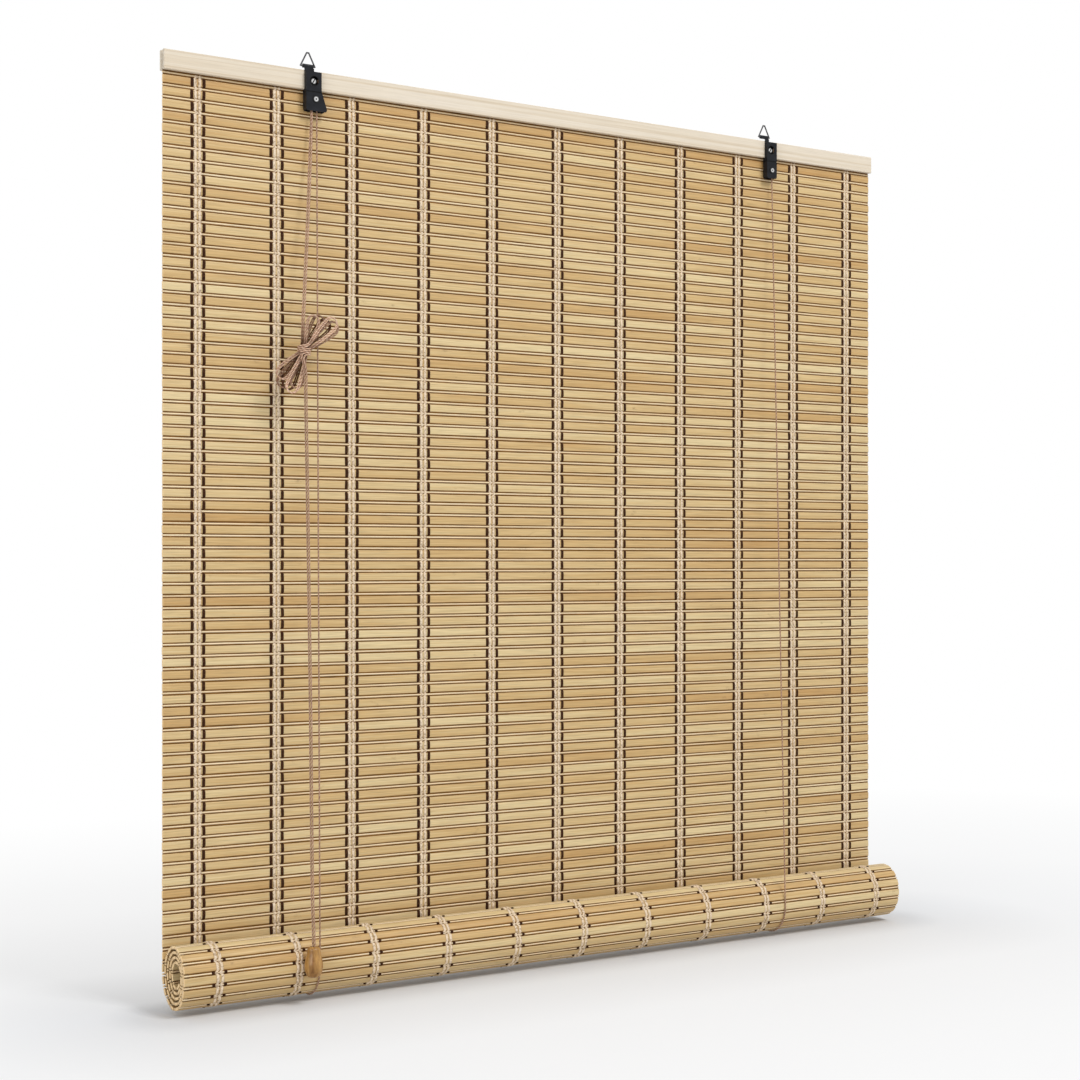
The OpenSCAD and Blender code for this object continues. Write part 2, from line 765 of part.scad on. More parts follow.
module cord_knot() {
    color("rosybrown")
        translate([knob_at[0], knob_at[1], knob_at[2] + knot_seat - knot_h])
            rotate_extrude()
                polygon(concat([[0, 0]],
                    [for (a = [-60:15:60])
                        [knot_d / 2 * (0.4 + 0.6 * cos(a)), knot_h / 2 * (1 + sin(a) / sin(60))]],
                    [[0, knot_h]]));
}

front_lath();
rear_lath();
lath_brads();
hanging_mat();
mat_roll();
cream_warps();
dark_warps();
lock_strap();
lock_housing();
lock_roller();
lock_rivet();
lock_pawl();
lock_pawl_pin();
lock_screw();
left_ring();
guide_strap();
guide_housing();
guide_roller();
guide_rivet();
guide_screw();
right_ring();
left_lift_cord();
right_lift_cord();
pull_cord();
cord_hank();
pull_knob();
cord_knot();
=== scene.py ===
# %% [markdown]
# A bamboo roll-up blind. It hangs by two wire rings from its headrail, and its lower part is rolled up
# in front of the mat. The frame brings in the CAD pieces in metres, with the origin in the middle of the
# headrail's rear face, +X to the right and +Z up. The lesson keeps the metal pieces and the laths as they
# are and gives them materials. The woven mat, the roll, the threads, the cords and the knob are made anew,
# because their look comes from detail that is too fine for the solids.

# %% Load the frame
import math
import bpy
import numpy as np
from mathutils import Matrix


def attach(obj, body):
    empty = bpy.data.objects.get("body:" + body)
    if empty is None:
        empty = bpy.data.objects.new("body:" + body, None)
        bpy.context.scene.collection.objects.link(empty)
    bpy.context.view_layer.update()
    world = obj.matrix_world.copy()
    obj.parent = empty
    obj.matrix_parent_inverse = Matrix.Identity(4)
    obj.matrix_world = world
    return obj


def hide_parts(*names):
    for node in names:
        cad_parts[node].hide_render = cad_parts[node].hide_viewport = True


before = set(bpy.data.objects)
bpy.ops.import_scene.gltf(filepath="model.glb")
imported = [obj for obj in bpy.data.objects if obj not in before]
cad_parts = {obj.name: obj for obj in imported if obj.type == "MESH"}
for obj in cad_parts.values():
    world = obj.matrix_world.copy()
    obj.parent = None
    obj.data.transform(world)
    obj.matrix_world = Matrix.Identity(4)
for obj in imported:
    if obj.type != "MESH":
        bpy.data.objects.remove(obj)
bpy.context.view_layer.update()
MM = 0.001
rng = np.random.default_rng(20)

# %% [markdown]
# The camera comes first. It stands level, a little left of the blind, and sees the front at about
# 33 degrees. The lens is long, so the slats run together only slightly towards the right. A small upward
# shift of the picture puts the horizon where the photo has it and keeps the upright edges parallel.

# %% Camera
CAMERA_PLACE, CAMERA_TURN = (-1.0108, -1.5316, -0.4235), math.radians(-33)
SENSOR, LENS, PICTURE_SHIFT, FAR_CLIP = 36, 63.67, 0.0194, 50

cam = bpy.data.objects.new("camera", bpy.data.cameras.new("camera"))
bpy.context.scene.collection.objects.link(cam)
cam.data.sensor_width = SENSOR
cam.data.lens = LENS
cam.data.shift_y = PICTURE_SHIFT
cam.data.clip_end = FAR_CLIP
cam.location = CAMERA_PLACE
cam.rotation_euler = (math.pi / 2, 0, CAMERA_TURN)
bpy.context.scene.camera = cam
print("the camera sees", round(2 * math.degrees(math.atan(SENSOR / 2 / LENS)), 1), "degrees")

# %% [markdown]
# All new surfaces are grids of points. A grid is an array of rows by columns by three, and its faces join
# each point to its right and lower neighbours. Many grids of the same shape can be stacked, so that one
# call makes every slat. The columns close on themselves for a bar, and the two ends get a cap.

# %% Faces of a grid
def grid_faces(count, rows, cols, caps=True):
    """Faces of `count` stacked tubes of `rows` rings with `cols` points, closed round the ring.

    Point k of ring r of tube b has number (b * rows + r) * cols + k. A quad joins points k and k + 1 of
    ring r to the same points of ring r + 1. A cap is a fan of quads over the first or the last ring.
    """
    b = np.arange(count)[:, None, None] * rows * cols
    r = np.arange(rows - 1)[None, :, None] * cols
    k = np.arange(cols)[None, None, :]
    n = (k + 1) % cols
    quads = np.stack([b + r + k, b + r + n, b + r + cols + n, b + r + cols + k], axis=-1).reshape(-1, 4)
    if not caps:
        return quads
    i = np.arange(cols // 2 - 1)
    fan = np.stack([i, cols - 1 - i, cols - 2 - i, i + 1], axis=-1)[None]
    first = (np.arange(count) * rows * cols)[:, None, None] + fan
    last = first[..., ::-1] + (rows - 1) * cols
    return np.concatenate([quads, first.reshape(-1, 4), last.reshape(-1, 4)])


print("a bar of 3 rings with 8 points has", len(grid_faces(1, 3, 8)), "faces with its two caps")

# %% [markdown]
# The arrays go into a mesh in whole blocks, which is quick even for a hundred thousand points. A mesh can
# also carry numbers on its points, such as the tone of a slat. Every new piece of the blind stays with the
# headrail, takes one of the part's materials, and may stand for a CAD piece.

# %% Mesh from arrays
def make_mesh(name, points, faces, material, slot, replaces=(), flat=False, **attributes):
    """Mesh object at the origin from an array of points in millimetres and an array of quads.

    Each attribute is one number for each point, which the material can read by its name.
    """
    points = np.ascontiguousarray(points.reshape(-1, 3) * MM, dtype=np.float32)
    faces = np.ascontiguousarray(faces, dtype=np.int32)
    mesh = bpy.data.meshes.new(name)
    mesh.vertices.add(len(points))
    mesh.vertices.foreach_set("co", points.ravel())
    mesh.loops.add(faces.size)
    mesh.loops.foreach_set("vertex_index", faces.ravel())
    mesh.polygons.add(len(faces))
    mesh.polygons.foreach_set("loop_start", np.arange(len(faces), dtype=np.int32) * 4)
    mesh.polygons.foreach_set("use_smooth", np.full(len(faces), not flat))
    for key, values in attributes.items():
        layer = mesh.attributes.new(key, "FLOAT", "POINT")
        layer.data.foreach_set("value", np.ascontiguousarray(values, dtype=np.float32).ravel())
    mesh.update(calc_edges=True)
    mesh.validate()
    obj = bpy.data.objects.new(name, mesh)
    bpy.context.scene.collection.objects.link(obj)
    mesh.materials.append(material)
    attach(obj, "blind")
    if replaces:
        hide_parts(*replaces)
    print(f"{name}: {2 * len(faces)} triangles")
    return obj


# %% [markdown]
# Materials are built from nodes by a small helper, so that each one reads as a list of steps. They take
# object coordinates in metres, so that the grain keeps its size. The slats and cords carry numbers of
# their own on their points: a tone for each slat, and the place along and round a cord.

# %% Material helper
class Graph:
    """Nodes of one material: each method adds a node and returns its output."""

    def __init__(self, name, roughness=0.6):
        self.mat = bpy.data.materials.new(name)
        self.mat.use_nodes = True
        self.tree = self.mat.node_tree
        self.bsdf = self.tree.nodes["Principled BSDF"]
        self.bsdf.inputs["Roughness"].default_value = roughness

    def put(self, value, socket):
        if isinstance(value, bpy.types.NodeSocket):
            self.tree.links.new(value, socket)
        elif hasattr(socket.default_value, "__len__") and not hasattr(value, "__len__"):
            socket.default_value = (value,) * len(socket.default_value)
        else:
            socket.default_value = value

    def coords(self, scale):
        tex = self.tree.nodes.new("ShaderNodeTexCoord")
        mapping = self.tree.nodes.new("ShaderNodeMapping")
        self.tree.links.new(tex.outputs["Object"], mapping.inputs["Vector"])
        mapping.inputs["Scale"].default_value = scale
        return mapping.outputs["Vector"]

    def attribute(self, name):
        node = self.tree.nodes.new("ShaderNodeAttribute")
        node.attribute_name = name
        return node.outputs["Fac"]

    def noise(self, scale, detail=3.0, roughness=0.5, w=None):
        """Noise with `scale` waves in a metre along X, Y and Z. Another w gives another pattern."""
        node = self.tree.nodes.new("ShaderNodeTexNoise")
        node.noise_dimensions = "3D" if w is None else "4D"
        self.put(self.coords(scale), node.inputs["Vector"])
        if w is not None:
            self.put(w, node.inputs["W"])
        node.inputs["Scale"].default_value = 1.0
        node.inputs["Detail"].default_value = detail
        node.inputs["Roughness"].default_value = roughness
        return node.outputs["Fac"]

    def math(self, how, a, b=0.0):
        node = self.tree.nodes.new("ShaderNodeMath")
        node.operation = how
        self.put(a, node.inputs[0])
        self.put(b, node.inputs[1])
        return node.outputs[0]

    def ramp(self, value, *stops):
        node = self.tree.nodes.new("ShaderNodeValToRGB")
        self.put(value, node.inputs["Fac"])
        elements = node.color_ramp.elements
        while len(elements) < len(stops):
            elements.new(0.5)
        for element, (position, colour) in zip(elements, stops):
            element.position = position
            element.color = (*colour, 1) if hasattr(colour, "__len__") else (colour, colour, colour, 1)
        return node.outputs["Color"]

    def mix(self, factor, a, b, how="MIX"):
        node = self.tree.nodes.new("ShaderNodeMix")
        node.data_type = "RGBA"
        node.blend_type = how
        self.put(factor, node.inputs["Factor"])
        self.put(a if not isinstance(a, tuple) else (*a, 1), node.inputs[6])
        self.put(b if not isinstance(b, tuple) else (*b, 1), node.inputs[7])
        return node.outputs[2]

    def finish(self, colour, bump=None, strength=0.3, distance=0.0003, roughness=None, **constants):
        self.put(colour, self.bsdf.inputs["Base Color"])
        if roughness is not None:
            self.put(roughness, self.bsdf.inputs["Roughness"])
        if bump is not None:
            node = self.tree.nodes.new("ShaderNodeBump")
            node.inputs["Strength"].default_value = strength
            node.inputs["Distance"].default_value = distance
            self.put(bump, node.inputs["Height"])
            self.tree.links.new(node.outputs["Normal"], self.bsdf.inputs["Normal"])
        for key, value in constants.items():
            self.bsdf.inputs[key.replace("_", " ")].default_value = value
        return self.mat


print("steps of a material:", ", ".join(step for step in vars(Graph) if not step.startswith("_")))

# %% [markdown]
# Split bamboo has long straight fibres, so the noise is stretched along the slat. Each slat was cut from
# another piece of cane and has its own tone, from pale straw to tan. The tone also drifts along the slat,
# and here and there a node of the cane leaves a short mark across it. The long edges are darker, because
# they lie in shadow, and the sawn ends are pale. Both are numbers on the points of the slat.

# %% Bamboo
DRIFT, FIBRE, FINE_FIBRE = (3.2, 2, 2), (14, 900, 900), (40, 2600, 2600)
NODES, NODE_SPECKLE = (75, 130, 130), (420, 800, 800)
NODE_BROWN, PAINTED_SHADE_BROWN, SAWN_STRAW = (0.22, 0.11, 0.035), (0.16, 0.075, 0.018), (0.97, 0.69, 0.36)


def bamboo(name, light, middle, deep):
    """Colour from light to deep at the value tone + 1.1 * drift + 0.9 * fibre, both noises about zero."""
    g = Graph(name, 0.5)
    seed = g.attribute("seed")
    drift = g.noise(DRIFT, 2, 0.5, seed)
    fibre = g.noise(FIBRE, 3, 0.6, seed)
    fine = g.noise(FINE_FIBRE, 2, 0.6, seed)
    value = g.math("ADD", g.attribute("tone"), g.math("MULTIPLY", g.math("SUBTRACT", drift, 0.5), 1.1))
    value = g.math("ADD", value, g.math("MULTIPLY", g.math("SUBTRACT", fibre, 0.5), 0.9))
    base = g.ramp(value, (0.05, light), (0.5, middle), (0.98, deep))
    streak = g.ramp(fine, (0.3, 0.74), (0.55, 1.0), (0.8, 1.08))
    colour = g.mix(1.0, base, streak, "MULTIPLY")
    node = g.ramp(g.noise(NODES, 1, 0.5, seed), (0.7, 0.0), (0.8, 1.0))
    speckle = g.ramp(g.noise(NODE_SPECKLE, 3, 0.7, seed), (0.42, 0.0), (0.62, 0.6))
    colour = g.mix(g.math("MULTIPLY", node, speckle), colour, NODE_BROWN)
    # Painted shade: the long edges of each bar, and the inner faces in the roll, mix towards brown.
    colour = g.mix(g.math("MULTIPLY", g.attribute("edge"), 0.65), colour, PAINTED_SHADE_BROWN)
    colour = g.mix(g.math("MULTIPLY", g.attribute("sawn"), 0.8), colour, SAWN_STRAW)
    rough = g.math("ADD", 0.42, g.math("MULTIPLY", fibre, 0.2))
    relief = g.math("ADD", fibre, g.math("MULTIPLY", fine, 0.5))
    return g.finish(colour, relief, 0.25, 0.0004, rough, Coat_Weight=0.12, Coat_Roughness=0.35)


def weave_shadow():
    """Dark brown of the threads and slat edges that lie deep in the gaps."""
    g = Graph("weave_shadow", 0.9)
    cloud = g.noise((60, 400, 400), 2)
    colour = g.ramp(cloud, (0.3, (0.125, 0.057, 0.013)), (0.7, (0.25, 0.12, 0.032)))
    return g.finish(colour, cloud, 0.2, 0.0002, Specular_IOR_Level=0.08)


slat_mat = bamboo("bamboo_slats", (0.76, 0.6, 0.325), (0.63, 0.425, 0.18), (0.5, 0.27, 0.08))
stick_mat = bamboo("bamboo_sticks", (0.93, 0.76, 0.5), (0.88, 0.69, 0.43), (0.74, 0.52, 0.28))
web_mat = weave_shadow()
print("finishes of the mat:", slat_mat.name, stick_mat.name, web_mat.name)

# %% [markdown]
# The mat is a weave of wide slats with one thin stick between each two. It goes straight down and then
# into the roll, so one function gives the place of any point on it: straight for the hanging rows, and on
# a slowly shrinking oval for the rolled ones. Every slat and stick takes its place and its direction from
# that function, which keeps the two parts in step.

# %% The line of the mat
PITCH, SLAT_H, SLAT_T, STICK_D = 10.3, 6.7, 1.6, 1.6
GAP = (PITCH - SLAT_H - STICK_D) / 2
RAIL_W, RAIL_BOTTOM, MAT_Y, ROWS = 800.0, -8.5, -5.0, 74
ROLL_R, FLAT, TURN, CORE_R = 28.2, 0.86, 4.2, 9.3
ROLL_Y = MAT_Y - FLAT * ROLL_R
ROLL_Z = RAIL_BOTTOM - ROWS * PITCH


def spiral(angle, out=0.0):
    """Y and Z on the roll: radius ROLL_R - TURN * angle / 360, narrowed in depth by FLAT.

    Angle 0 is the rearmost point, and it goes down, under and up the front. `out` moves the point along
    the oval's outward direction.
    """
    a = np.radians(angle)
    r = ROLL_R - TURN * np.asarray(angle) / 360
    side = np.stack([np.cos(a), -np.sin(a) * FLAT], axis=-1)
    side /= np.linalg.norm(side, axis=-1)[..., None]
    middle = np.stack([ROLL_Y + FLAT * r * np.cos(a), ROLL_Z - r * np.sin(a)], axis=-1)
    return middle + np.asarray(out)[..., None] * side


def roll_rows():
    """Angles at which the rows of the roll begin: each row is one pitch long on the oval."""
    angles, a, end = [], 0.0, 360 * (ROLL_R - CORE_R) / TURN
    while a < end:
        angles.append(a)
        r = ROLL_R - TURN * a / 360
        c, s = math.cos(math.radians(a)), math.sin(math.radians(a))
        a += PITCH / (r * math.hypot(FLAT * s, c) * math.pi / 180)
    return np.array(angles)


ANGLES = roll_rows()
ROLL_ROWS = len(ANGLES) - 1


def mat_line(row, down, rolled):
    """Y and Z of the mat's middle at `down` millimetres below the start of a row."""
    row, down = np.broadcast_arrays(np.asarray(row), np.asarray(down, dtype=float))
    if not rolled:
        z = RAIL_BOTTOM - row * PITCH - down
        return np.stack([np.full(z.shape, MAT_Y), z], axis=-1)
    return spiral(ANGLES[row] + (ANGLES[row + 1] - ANGLES[row]) * down / PITCH)


print(ROWS, "rows hang and", ROLL_ROWS, "are rolled up, in", round(ANGLES[-1] / 360, 1), "turns")

# %% [markdown]
# A slat is a flat bar with softened edges. Its outline is a squared-off oval, which real split slats come
# close to after sanding. Cane isn't straight, so each slat bows by a fraction of a millimetre and its
# width wanders. The ends are sawn, and don't line up exactly. Slats come in batches, so the tones of
# neighbours are alike, and the two rows next to the rail look deeper in its shade. In the roll the bars
# are a little thicker on the inner side, where threads pad one turn from the next.

# %% Slats and sticks
INWARD, RAGGED = 0.9, 0.4
MEAN_TONE, BATCH_TONE, OWN_TONE, RAIL_SHADE = 0.43, 0.07, 0.135, (0.45, 0.12)
CORE_ROWS, ROLL_INNER_SHADE, CORE_INNER_SHADE = 7, 0.8, 0.15


def bars(rows, start, end, thick, rolled, grid, power, bow, telescope, edge):
    """Points, tones, seeds and edge shading of one bar for each row.

    The outline is a superellipse: half width w and half thickness h with
    x = w * sign(cos) * |cos|^p and y = h * sign(sin) * |sin|^p. It is swept along X, and `grid` holds the
    number of places along X and of points round the outline. Bow and width change along X as slow sine
    waves of random phase. The ends differ by RAGGED, and `telescope` moves the inner turns along X.
    """
    stations, cols = grid
    row = np.arange(rows)
    round_bar = (np.arange(cols) + 0.5) * 2 * np.pi / cols
    c, s = np.cos(round_bar), np.sin(round_bar)
    wide = np.sign(c) * np.abs(c) ** power * (end - start) / 2
    pad = INWARD if rolled else 0.0
    high = np.sign(s) * np.abs(s) ** power * (thick + pad) / 2 - pad / 2
    u = np.concatenate([[-1], np.linspace(-0.9985, 0.9985, stations - 2), [1]])

    def wave(k):
        return np.sin(np.pi * k * u[None] + rng.uniform(0, 2 * np.pi, (rows, 1)))

    half = RAIL_W / 2 + rng.uniform(-RAGGED, 0, (rows, 2))
    x = np.where(u[None] < 0, u[None] * half[:, :1], u[None] * half[:, 1:])
    x = x + (telescope * row / max(rows - 1, 1))[:, None]
    lift = bow * (rng.uniform(0.2, 1, (rows, 1)) * wave(1.3) + 0.4 * wave(3.1))
    grow = 1 + 0.35 * bow / (end - start) * (wave(1.7) + 0.6 * wave(4.3))
    along = wide[None, None] * grow[..., None] + lift[..., None]
    reach = (start + end) / 2 + along
    line = mat_line(row[:, None, None], reach, rolled)
    ahead = mat_line(row[:, None, None], reach + 0.1, rolled) - line
    ahead /= np.linalg.norm(ahead, axis=-1)[..., None]
    out = np.stack([-ahead[..., 1], ahead[..., 0]], axis=-1)
    yz = line + high[None, None, :, None] * out
    points = np.concatenate([np.broadcast_to(x[..., None], along.shape)[..., None], yz], axis=-1)

    ones = np.ones((rows, stations, cols))
    batch = np.convolve(rng.normal(0, 1, rows + 8), np.full(9, 1 / 3), "valid")
    tone = MEAN_TONE + BATCH_TONE * batch + rng.normal(0, OWN_TONE, rows)
    if not rolled:
        tone[:2] += RAIL_SHADE
    tone = np.clip(tone, 0.05, 0.98)[:, None, None] * ones
    seed = rng.uniform(0, 50, (rows, 1, 1)) * ones
    # Painted shade on the long edges, and in the roll on the inner face, weaker in the innermost rows.
    flank = np.clip((np.abs(wide) / np.abs(wide).max() - 0.955) / 0.04, 0, 1) * (np.abs(s) ** power < 0.84)
    depth = np.where(row < rows - CORE_ROWS, ROLL_INNER_SHADE, CORE_INNER_SHADE)[:, None, None] if rolled else 0.0
    shaded = edge * np.maximum(flank, depth * (high < -0.3)) * ones
    sawn = (np.abs(np.abs(u) - 1) < 1e-6)[None, :, None] * ones
    return points, dict(tone=tone, seed=seed, edge=shaded, sawn=sawn)


SLAT_GRID, STICK_GRID = (15, 12), (13, 8)
SLAT_POWER, STICK_POWER, SLAT_BOW, STICK_BOW = 0.28, 0.9, 0.2, 0.12
SLAT_EDGE, STICK_EDGE, TELESCOPE = 1.0, 0.45, 2.5


def slat_set(name, rows, rolled, replaces, telescope=0.0):
    """The slats and the sticks of one stretch of the mat. In the roll they are held straight."""
    free = 0.0 if rolled else 1.0
    points, marks = bars(rows, PITCH - SLAT_H, PITCH, SLAT_T, rolled, SLAT_GRID, SLAT_POWER,
                         SLAT_BOW * free, telescope, SLAT_EDGE)
    make_mesh(name + "_slats", points, grid_faces(rows, *SLAT_GRID), slat_mat, "bamboo", replaces, **marks)
    points, marks = bars(rows, GAP, GAP + STICK_D, STICK_D, rolled, STICK_GRID, STICK_POWER,
                         STICK_BOW * free, telescope, STICK_EDGE)
    make_mesh(name + "_sticks", points, grid_faces(rows, *STICK_GRID), stick_mat, "bamboo", **marks)


slat_set("mat", ROWS, False, ("hanging_mat",))
slat_set("roll", ROLL_ROWS, True, ("mat_roll",), TELESCOPE)

# %% [markdown]
# Between the slats the weave is closed: threads and slat edges fill the gaps, and they lie in shadow. A
# thin dark sheet in the middle of the mat stands for them. It follows the same line as the slats. At the
# roll's left end it stands back further, so that the sawn ends show light between the turns.

# %% Sheet in the gaps
WEB_T, WEB_INSET, ROLL_WEB_INSET = 0.5, 0.5, 5.0


def web_sheet(name, line, left_inset):
    """Closed ribbon along a line of Y and Z: four points a place, for both ends of X and both faces."""
    t = np.gradient(line, axis=0)
    t /= np.linalg.norm(t, axis=1)[:, None]
    normal = np.stack([-t[:, 1], t[:, 0]], axis=-1) * WEB_T / 2
    left, right = left_inset - RAIL_W / 2, RAIL_W / 2 - WEB_INSET

    def corner(x, face):
        return np.concatenate([np.full((len(line), 1), x), line + face * normal], axis=1)

    points = np.stack([corner(left, -1), corner(right, -1), corner(right, 1), corner(left, 1)], axis=1)
    make_mesh(name, points, grid_faces(1, len(line), 4), web_mat, "brown_thread", flat=True)


hanging_z = np.linspace(RAIL_BOTTOM + 10, ROLL_Z, 40)
web_sheet("mat_web", np.stack([np.full(40, MAT_Y), hanging_z], axis=1), WEB_INSET)
web_sheet("roll_web", spiral(np.linspace(0, ANGLES[-1], 360)), ROLL_WEB_INSET)

# %% [markdown]
# Eleven columns of threads hold the slats. In each column two dark threads go over the wide slats and
# behind the sticks. Two pairs of cream threads lie between them: one pair goes the same way and the other
# the opposite way, so that the column looks closed. Each thread is a flattened tube whose distance from
# the mat's middle swings from one face to the other once in a row.

# %% Warp threads
WARP_FIRST, WARP_PITCH, WARP_COUNT = 32, 73.6, 11
WARPS = -RAIL_W / 2 + WARP_FIRST + WARP_PITCH * np.arange(WARP_COUNT)
STEPS = np.array([0.45, 1.8, 3.15, 4.3, 6.95, 9.7])
SWING = np.array([0.0, -1.0, 0.0, 0.94, 1.0, 0.94])
REACH, THREAD_T, THREAD_COLS, WANDER = 1.1, 0.7, 6, 0.22


def threads(name, offsets, width, sign, rows, rolled, material, slot, replaces=()):
    """Threads at every column and offset, over the slats on the front (sign -1) or on the back (sign 1).

    At each place the middle of the thread lies REACH times SWING out from the mat, and its outline is an
    oval, `width` by THREAD_T. It wanders sideways by a slow sine wave.
    """
    row = np.repeat(np.arange(rows), len(STEPS))
    down = np.tile(STEPS, rows)
    swing = np.tile(SWING, rows) * sign * REACH
    ahead = mat_line(row, down + 0.1, rolled) - mat_line(row, down - 0.1, rolled)
    t = ahead / np.linalg.norm(ahead, axis=1)[:, None]
    yz = mat_line(row, down, rolled) + swing[:, None] * np.stack([-t[:, 1], t[:, 0]], axis=-1)
    tangent = np.gradient(yz, axis=0)
    tangent /= np.linalg.norm(tangent, axis=1)[:, None]
    normal = np.stack([-tangent[:, 1], tangent[:, 0]], axis=-1)
    turn = np.arange(THREAD_COLS) * 2 * np.pi / THREAD_COLS
    places = (WARPS[:, None] + np.asarray(offsets)[None]).ravel()
    wander = WANDER * np.sin(np.arange(len(row))[None] * 0.37 + rng.uniform(0, 6.3, (len(places), 1)))
    x = places[:, None, None] + wander[..., None] + width / 2 * np.cos(turn)
    ring = yz[:, None] + THREAD_T / 2 * np.sin(turn)[None, :, None] * normal[:, None]
    points = np.concatenate([x[..., None], np.broadcast_to(ring, (len(places), *ring.shape))], axis=-1)
    length = np.concatenate([[0], np.cumsum(np.linalg.norm(np.diff(yz, axis=0), axis=1))])
    make_mesh(name, points, grid_faces(len(places), len(row), THREAD_COLS), material, slot, replaces,
              along=np.broadcast_to(length[None, :, None], x.shape),
              across=np.broadcast_to(np.cos(turn)[None, None], x.shape))


def thread_material(name, deep, light, speck, amount):
    """Twisted yarn: a sine along and across the thread makes the plies with painted shade between them, and
    noise the hairs and specks.
    """
    g = Graph(name, 0.85)
    along, across = g.attribute("along"), g.attribute("across")
    ply = g.math("SINE", g.math("ADD", g.math("MULTIPLY", along, 5.2), g.math("MULTIPLY", across, 1.6)))
    # Painted shade: the sine darkens the grooves between the plies.
    value = g.math("ADD", g.math("MULTIPLY", ply, 0.14), g.noise((900, 900, 900), 2))
    holes = g.ramp(g.noise((620, 620, 480), 1), (0.54, 0.0), (0.64, 1.0))
    yarn = g.ramp(value, (0.15, deep), (0.75, light))
    colour = g.mix(g.math("MULTIPLY", holes, amount), yarn, speck)
    return g.finish(colour, value, 0.35, 0.0003, Specular_IOR_Level=0.15)


dark_mat = thread_material("dark_thread", (0.018, 0.006, 0.002), (0.052, 0.018, 0.006),
                           (0.11, 0.045, 0.016), 0.4)
cream_mat = thread_material("cream_thread", (0.68, 0.51, 0.34), (0.9, 0.76, 0.58), (0.26, 0.15, 0.07), 0.6)
DARK_AT, DARK_W, OVER_AT, UNDER_AT, CREAM_W = (-5.4, 5.4), 2.8, (-2.3, 1.5), (-1.5, 2.3), 2.7
outer_rows = int(np.sum(ANGLES < 335))
for part, rows, rolled in (("mat", ROWS, False), ("roll", outer_rows, True)):
    dark_swap, cream_swap = ((), ()) if rolled else (("dark_warps",), ("cream_warps",))
    threads(part + "_dark_threads", DARK_AT, DARK_W, -1, rows, rolled, dark_mat, "brown_thread", dark_swap)
    threads(part + "_cream_over", OVER_AT, CREAM_W, -1, rows, rolled, cream_mat, "cream_thread", cream_swap)
    threads(part + "_cream_under", UNDER_AT, CREAM_W, 1, rows, rolled, cream_mat, "cream_thread")

# %% [markdown]
# The headrail is two planed pine laths. The photo shows a pale face with soft lengthwise grain. The CAD
# laths keep their shape, and only take a material with long grain lines.

# %% Headrail
def pine():
    """Pale pine: noise that is long in X gives the grain lines, and a slower noise bends them."""
    g = Graph("pale_pine", 0.55)
    bend = g.noise((1.5, 30, 30), 2)
    rings = g.noise((2.2, 240, 420), 3, 0.55, g.math("MULTIPLY", bend, 1.5))
    fine = g.noise((30, 1800, 1800), 2)
    base = g.ramp(rings, (0.3, (0.79, 0.705, 0.585)), (0.5, (0.745, 0.65, 0.51)), (0.7, (0.62, 0.5, 0.35)))
    colour = g.mix(1.0, base, g.ramp(fine, (0.3, 0.9), (0.6, 1.0)), "MULTIPLY")
    return g.finish(colour, g.math("ADD", rings, fine), 0.15, 0.0003)


def dress(node, material, bevel=0.0):
    """Gives a CAD piece its material, and softens its edges where a bevel is stated."""
    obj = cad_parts[node]
    obj.data.materials.clear()
    obj.data.materials.append(material)
    if bevel:
        mod = obj.modifiers.new("soft_edges", "BEVEL")
        mod.width = bevel * MM
        mod.segments = 2
        mod.limit_method = "ANGLE"
        mod.angle_limit = math.radians(35)
    return obj


LATH_BEVEL = 0.25
pine_mat = pine()
for node in ("front_lath", "rear_lath"):
    dress(node, pine_mat, LATH_BEVEL)
print("laths dressed in", pine_mat.name)

# %% [markdown]
# The brackets are folded steel sheet with a near-black satin paint, and the rings are wire of the same
# colour. Rivets and screws are bright zinc. The sheet is dished a little round each rivet and hole, and
# pressed to a crease across its front, and painted shade darkens a ring round each head and a line along
# the crease. The zinc heads get painted shade on the rim and in the bore, and the screws in their slot.
# These are found from the distance to the head's axis.

# %% Metal and plastic
LOCK_LEFT, GUIDE_LEFT = -269.8, 252.9
LOCK_X, LOCK_Z, GUIDE_X, GUIDE_Z = LOCK_LEFT + 9.4, -17.0, GUIDE_LEFT + 6.6, -21.8
LOCK_SCREW, GUIDE_SCREW, SCREW_Z = LOCK_LEFT + 8, GUIDE_LEFT + 5.6, -1.0
LOCK_CREASE, GUIDE_CREASE = -10.8, -12.7
RIVET_SHADE_RING, SCREW_SHADE_RING, SLOT_W = (2.6, 4.2), (4.0, 5.2), 0.7
SHEET_BEVEL, HEAD_BEVEL = 0.18, 0.12


def from_point(g, x, z):
    """Distances in millimetres along X and Z from a point on the front."""
    split = g.tree.nodes.new("ShaderNodeSeparateXYZ")
    g.tree.links.new(g.coords((1000, 1000, 1000)), split.inputs[0])
    return g.math("SUBTRACT", split.outputs["X"], x), g.math("SUBTRACT", split.outputs["Z"], z)


def radius(g, dx, dz):
    """Square root of dx * dx + dz * dz, in centimetres, so that a ramp from 0 to 1 covers a head."""
    squares = g.math("ADD", g.math("MULTIPLY", dx, dx), g.math("MULTIPLY", dz, dz))
    return g.math("DIVIDE", g.math("SQRT", squares), 10)


